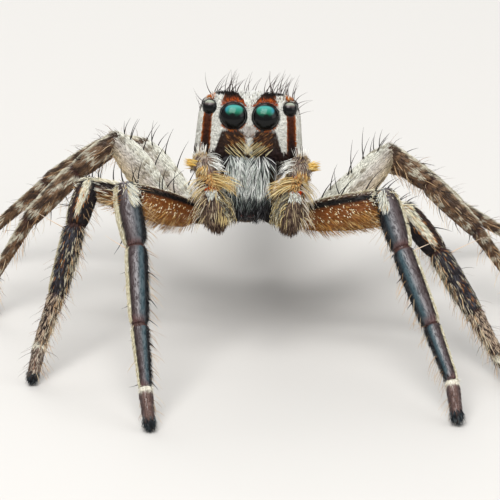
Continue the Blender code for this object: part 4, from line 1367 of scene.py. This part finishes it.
def bristle_tree():
    """Points become curved bristles that stand along "aim", as long as "reach"."""
    tree = bpy.data.node_groups.new("Bristles", "GeometryNodeTree")
    for label, in_out, kind in (("Geometry", "INPUT", "Geometry"), ("Curl", "INPUT", "Float"),
                                ("Finish", "INPUT", "Material"), ("Geometry", "OUTPUT", "Geometry")):
        tree.interface.new_socket(label, in_out=in_out, socket_type="NodeSocket" + kind)

    def node(kind, **inputs):
        made = tree.nodes.new(kind)
        set_inputs(made, inputs)
        return made

    def named(label, kind):
        found = node("GeometryNodeInputNamedAttribute", Name=label)
        found.data_type = kind
        return found.outputs["Attribute"]

    start, end = node("NodeGroupInput").outputs, node("NodeGroupOutput")
    cone = node("GeometryNodeMeshCone", Vertices=5, Side_Segments=6, Radius_Top=0.12,
                Radius_Bottom=1.0, Depth=1.0)
    where, parts = node("GeometryNodeInputPosition"), node("ShaderNodeSeparateXYZ")
    square, bend, shift = node("ShaderNodeMath"), node("ShaderNodeMath"), node("ShaderNodeCombineXYZ")
    square.operation = bend.operation = "MULTIPLY"
    move, turn = node("GeometryNodeSetPosition"), node("FunctionNodeAlignRotationToVector")
    turn.axis = "Z"
    size, place = node("ShaderNodeCombineXYZ"), node("GeometryNodeInstanceOnPoints")
    real, dress = node("GeometryNodeRealizeInstances"), node("GeometryNodeSetMaterial")
    girth = named("girth", "FLOAT")
    for output, into in (
            (where.outputs[0], parts.inputs[0]),
            (parts.outputs["Z"], square.inputs[0]), (parts.outputs["Z"], square.inputs[1]),
            (square.outputs[0], bend.inputs[0]), (start["Curl"], bend.inputs[1]),
            (bend.outputs[0], shift.inputs["X"]), (shift.outputs[0], move.inputs["Offset"]),
            (cone.outputs["Mesh"], move.inputs["Geometry"]),
            (named("aim", "FLOAT_VECTOR"), turn.inputs["Vector"]),
            (girth, size.inputs["X"]), (girth, size.inputs["Y"]),
            (named("reach", "FLOAT"), size.inputs["Z"]),
            (start["Geometry"], place.inputs["Points"]),
            (move.outputs["Geometry"], place.inputs["Instance"]),
            (turn.outputs["Rotation"], place.inputs["Rotation"]),
            (size.outputs[0], place.inputs["Scale"]),
            (place.outputs["Instances"], real.inputs["Geometry"]),
            (real.outputs["Geometry"], dress.inputs["Geometry"]),
            (start["Finish"], dress.inputs["Material"]),
            (dress.outputs["Geometry"], end.inputs["Geometry"])):
        tree.links.new(output, into)
    return tree


def grow_bristles(name, tree, found, curl, matter):
    """found: list of (root, aim, length, girth)."""
    mesh = bpy.data.meshes.new(name + "_roots")
    roots, aims, reaches, girths = (np.array(part) for part in zip(*found))
    mesh.from_pydata((roots * MM).tolist(), [], [])
    for label, kind, field, values in (("aim", "FLOAT_VECTOR", "vector", aims),
                                       ("reach", "FLOAT", "value", reaches * MM),
                                       ("girth", "FLOAT", "value", girths * MM)):
        mesh.attributes.new(label, kind, "POINT").data.foreach_set(
            field, values.astype(np.float32).ravel())
    holder = put(name + "_roots", mesh)
    modifier = holder.modifiers.new("Bristles", "NODES")
    modifier.node_group = tree
    keys = {s.name: s.identifier for s in tree.interface.items_tree if s.in_out == "INPUT"}
    modifier[keys["Curl"]] = curl
    modifier[keys["Finish"]] = matter
    depsgraph = bpy.context.evaluated_depsgraph_get()
    grown = bpy.data.meshes.new_from_object(holder.evaluated_get(depsgraph))
    bpy.data.objects.remove(holder)
    grown.polygons.foreach_set("use_smooth", np.ones(len(grown.polygons), bool))
    # one small patch of the map for each bristle
    corners = np.zeros(len(grown.loops), np.int64)
    grown.loops.foreach_get("vertex_index", corners)
    each = len(grown.vertices) // len(found)
    grid = math.ceil(math.sqrt(len(found)))
    which, within = corners // each, corners % each
    patch = 0.004 if len(found) > 60 else 0.01
    uv = np.stack((which % grid / grid + patch * (within % 5) / 5,
                   which // grid / grid + patch * (within // 5) / (each / 5)), 1) + 0.5 / grid - patch / 2
    for layer in list(grown.uv_layers):
        grown.uv_layers.remove(layer)
    grown.uv_layers.new(name="OFBake").data.foreach_set("uv", uv.astype(np.float32).ravel())
    finish_piece(grown, name, matter)


def plain(name, colour, roughness):
    return shader_of(name, Base_Color=(*linear(colour), 1), Roughness=roughness,
                     Specular_IOR_Level=0.3)[0]


CROWN_BRISTLES = 58  # places tried, some of those in the middle are left empty
LONGEST_BRISTLE, SHORTEST_BRISTLE = 0.66, 0.36


def build_bristles(spines):
    tree = bristle_tree()
    dark = plain("dark_bristle", (26, 18, 16), 0.4)
    grow_bristles("leg_spines", tree, spines, 9.0, dark)
    dice = np.random.default_rng(41)
    crown = []
    for _ in range(CROWN_BRISTLES):
        x = dice.uniform(-1.12, 1.12)
        if abs(x) < 0.25 and dice.random() < 0.6:
            continue
        y = dice.uniform(0.10, 0.55)
        z = 0.50 - 0.20 * max(0.0, abs(x) - 0.95) / 0.17
        aim = HEAD.aim(unit((-0.06 * x + 0.26 * dice.normal(), -0.15 + 0.25 * dice.normal(), 1.0)))
        crown.append((HEAD.out((x, y, z)), aim, dice.uniform(SHORTEST_BRISTLE, LONGEST_BRISTLE), 0.0125))
    for which in SIDES:
        s = side_of(which)
        for z in (0.34, 0.20, 0.05):
            aim = HEAD.aim(unit((s * 0.8, -0.3, 0.9 + 0.3 * dice.normal())))
            crown.append((HEAD.out((s * 1.15, 0.25, z)), aim, dice.uniform(0.25, 0.40), 0.008))
    grow_bristles("head_bristles", tree, crown, 16.0, plain("fine_bristle", (44, 22, 14), 0.45))
    pale = []
    for which in SIDES:
        s = side_of(which)
        for number, reach in ((1, 0.62), (2, 0.98)):
            surface = leg_surfaces(which, number)[2]
            spot = surface.place.origin + 0.12 * surface.place.turn[:, 1] + np.array((0.22 * s, 0, 0.05))
            pale.append((spot, unit((0.85 * s, -0.10, 0.52)), reach, 0.015))
    grow_bristles("pale_bristles", tree, pale, 3.0, plain("pale_bristle", (226, 202, 178), 0.5))


# ---------------------------------------------------------------- abdomen and underside

def abdomen_surface():
    rows = []
    for k in range(21):
        a = math.pi * k / 20
        along = (1 - math.cos(a)) / 2
        full = max(math.sin(a), 0.02) ** 0.82
        rows.append((0.05 + (ABDOMEN_LENGTH - 0.1) * along, 0.96 * full, 0.92 * full,
                     1.14 * full * (1 - 0.10 * along), 0.10 * math.sin(a), 0))
    return Surface(ABDOMEN.out(oval_rows(rows, 90, 96)), place=ABDOMEN, piece=0)


def abdomen_marks(r):
    x, y, up = np.abs(r.x), r.y / ABDOMEN_LENGTH, r.facing[:, 2]
    half = 0.34 + 0.05 * np.sin(y * 9) - 0.16 * ramp(0.55, 1.0, y)
    saw = 0.10 * (1 - np.abs(((y * 7) % 1) * 2 - 1)) * ramp(0.45, 0.6, y)
    spots = [(WHITE, fade(0.08, 0.13, np.hypot((y - at) * ABDOMEN_LENGTH, x - off)) * (up > 0))
             for at, off in ((0.62, 0.52), (0.80, 0.40))]
    belly = ramp(-0.25, -0.6, up)
    return layers(
        flat(r, (74, 52, 36)),
        ((46, 32, 26), band(up, 0.35, 0.80, 0.1)),
        ((222, 208, 172), band(x, -1, half - saw, 0.035) * (up > 0)),
        *spots,
        ((176, 156, 122), band(up, -0.15, 0.30, 0.12) * 0.75),
        ((150, 130, 100), belly),
        ((60, 48, 40), belly * band(x, -1, 0.32, 0.06)),
        ((214, 200, 168), ramp(0.16, 0.04, y) * (up > -0.2) * 0.8))


def build_abdomen():
    body = abdomen_surface()
    start, end = HEAD.out((0, 3.80, -1.14)), ABDOMEN.out((0, 0.12, 0.0))
    waist = place_along(start, end - start, (0, 0, 1))
    reach = np.linalg.norm(end - start)
    rows = ((0, .12, .12, .14), (reach / 2, .13, .13, .15), (reach, .11, .11, .12))
    pieces = [body, Surface(waist.out(oval_rows(rows, 10, 20)), place=waist, piece=1)]
    tail = ABDOMEN.out((0, ABDOMEN_LENGTH - 0.06, -0.02))
    for x, z, tilt, size, long in ((0, 0, 0, 0.20, 0.24), (-0.12, 0.09, 8, 0.075, 0.52),
                                   (0.12, 0.09, 8, 0.075, 0.52), (-0.11, -0.11, -6, 0.085, 0.46),
                                   (0.11, -0.11, -6, 0.085, 0.46)):
        place = Place(tail + ABDOMEN.aim((x, 0.0, z)),
                      ABDOMEN.turn @ spin("x", tilt) @ spin("z", -60 * x))
        rows = ((0, size), (long * 0.6, size), (long * 0.9, size * .6), (long, size * .15))
        pieces.append(Surface(place.out(oval_rows(rows, 14, 20)), place=place, piece=2))

    def marks(r):
        if r.piece[0] == 0:
            return abdomen_marks(r) * ABDOMEN_SHADE
        return flat(r, (64, 42, 30) if r.piece[0] == 1 else (96, 74, 56))

    join_surfaces("skin_abdomen", pieces, SKIN,
                  ["abdomen", "pedicel", "spinnerets"], marks)
    r = body.scatter(15500)
    first, last = lying(r, r.along, 12, 0.3)
    colour = abdomen_marks(r) * speckle(len(r), 0.2)[:, None]
    coat_piece("coat_abdomen", [tufts(r, first, last, 0.26 * speckle(len(r), 0.3), 0.040, colour)],
               HAIR)


def build_underside():
    plate_rows = ((0.40, .12, .16, .16, -2.10, 0), (0.46, .26, .26, .28, -2.12, 0),
                  (0.60, .44, .40, .40, -2.06, 0), (1.0, .55, .50, .44, -2.00, 0),
                  (1.8, .56, .50, .45, -2.00, 0), (2.6, .54, .48, .44, -2.00, 0),
                  (3.2, .46, .42, .36, -1.98, 0), (3.50, .24, .24, .20, -1.96, 0),
                  (3.55, .05, .05, .05, -1.96, 0))
    plate = Surface(HEAD.out(oval_rows(plate_rows, 60, 36, 0.8)), piece=0)
    pieces, nodes = [plate], ["sternum"]
    for which, number in LEGS:
        _, y, z = HIPS[number]
        inner = HEAD.out((side_of(which) * 0.36, y, z + 0.22))
        hip = leg_points(which, number)[0]
        place = place_along(inner, hip - inner, HEAD.aim((0, 0, 1)))
        reach = np.linalg.norm(hip - inner)
        grid = oval_rows(((0, .16), (0.1, .28), (0.45 * reach, .32, .32, .315),
                          (0.8 * reach, .26, .28, .28), (reach, .18, .22, .20),
                          (reach + 0.10, .14, .16, .16), (reach + 0.14, .04)), 30, 24)
        pieces.append(Surface(place.out(grid), place=place, piece=number))
        nodes.append(f"leg{number}_{which}_coxa")
    # the skin goes near black towards the front: painted shade under the head
    join_surfaces("skin_underside", pieces, SKIN, nodes,
                  lambda r: lay(flat(r, (92, 62, 36) if r.piece[0] else (64, 44, 32)), (22, 18, 17),
                                ramp(1.1, 0.6, HEAD.into(r.root)[:, 1])))
    batches = []
    for k, surface in enumerate(pieces):
        surface.tile = (0.1 * k, 0, 0.095, 0.98)
        r = surface.scatter(1200 if k == 0 else 520)
        n = len(r)
        first, last = lying(r, r.along, 16, 0.3)
        tone = lay(flat(r, (120, 98, 72)), (58, 42, 32), rng.random(n))
        # the hairs go near black towards the front: painted shade under the head
        tone = lay(tone, (24, 20, 20), ramp(1.1, 0.5, HEAD.into(r.root)[:, 1]))
        batches.append(tufts(r, first, last, 0.18 * speckle(n, 0.3), 0.03, tone))
    coat_piece("coat_underside", batches, HAIR)


# ---------------------------------------------------------------- stage

def aim_object(made, right, up, back, place):
    """Turns an object so that its own axes run right, up and back."""
    rows = np.column_stack((right, up, back, place)).tolist()
    made.matrix_world = Matrix(rows + [(0, 0, 0, 1)])


def build_stage():
    floor_mesh = bpy.data.meshes.new("floor")
    half = 0.6
    floor_mesh.from_pydata([(-half, -half, 0), (half, -half, 0), (half, half, 0), (-half, half, 0)],
                           [], [(0, 1, 2, 3)])
    floor_mesh.materials.append(
        shader_of("pale_floor", Base_Color=(0.62, 0.60, 0.57, 1), Roughness=0.9)[0])
    put("floor", floor_mesh)

    world = bpy.data.worlds.new("studio")
    world.use_nodes = True
    set_inputs(world.node_tree.nodes["Background"], {"Color": (0.89, 0.91, 0.93, 1), "Strength": 0.55})
    bpy.context.scene.world = world

    # places and sizes in metres, power in watts
    for name, place, size, power in (("key", (-0.02, -0.07, 0.12), 0.09, 0.20),
                                     ("fill", (0.10, -0.05, 0.05), 0.08, 0.035),
                                     ("back", (-0.03, 0.10, 0.08), 0.08, 0.06)):
        light = bpy.data.lights.new(name, "AREA")
        light.shape, light.size, light.energy = "SQUARE", size, power
        lamp = put(name, light)
        aim = unit(np.array((0, 0, 0.004)) - place)
        side = unit(np.cross(aim, (0.0, 0.01, 1.0)))
        aim_object(lamp, side, np.cross(side, aim), -aim, place)


def build_camera():
    camera = bpy.data.cameras.new("camera")
    camera.lens, camera.sensor_width = 360.0, 36.0
    camera.clip_start, camera.clip_end = 0.005, 5.0
    made = put("camera", camera)
    a = math.radians(HEAD_PITCH)
    aim_object(made, (1, 0, 0), (0, math.sin(a), math.cos(a)), (0, -math.cos(a), math.sin(a)),
               (-0.000215, -0.113939, 0.047914))
    bpy.context.scene.camera = made
    bpy.context.scene.view_settings.view_transform = "Standard"


build_head()
build_eyes()
build_jaws()
build_feelers()
spines = []
for which, number in LEGS:
    build_leg(which, number, spines)
build_claws()
build_bristles(spines)
build_abdomen()
build_underside()
build_stage()
build_camera()
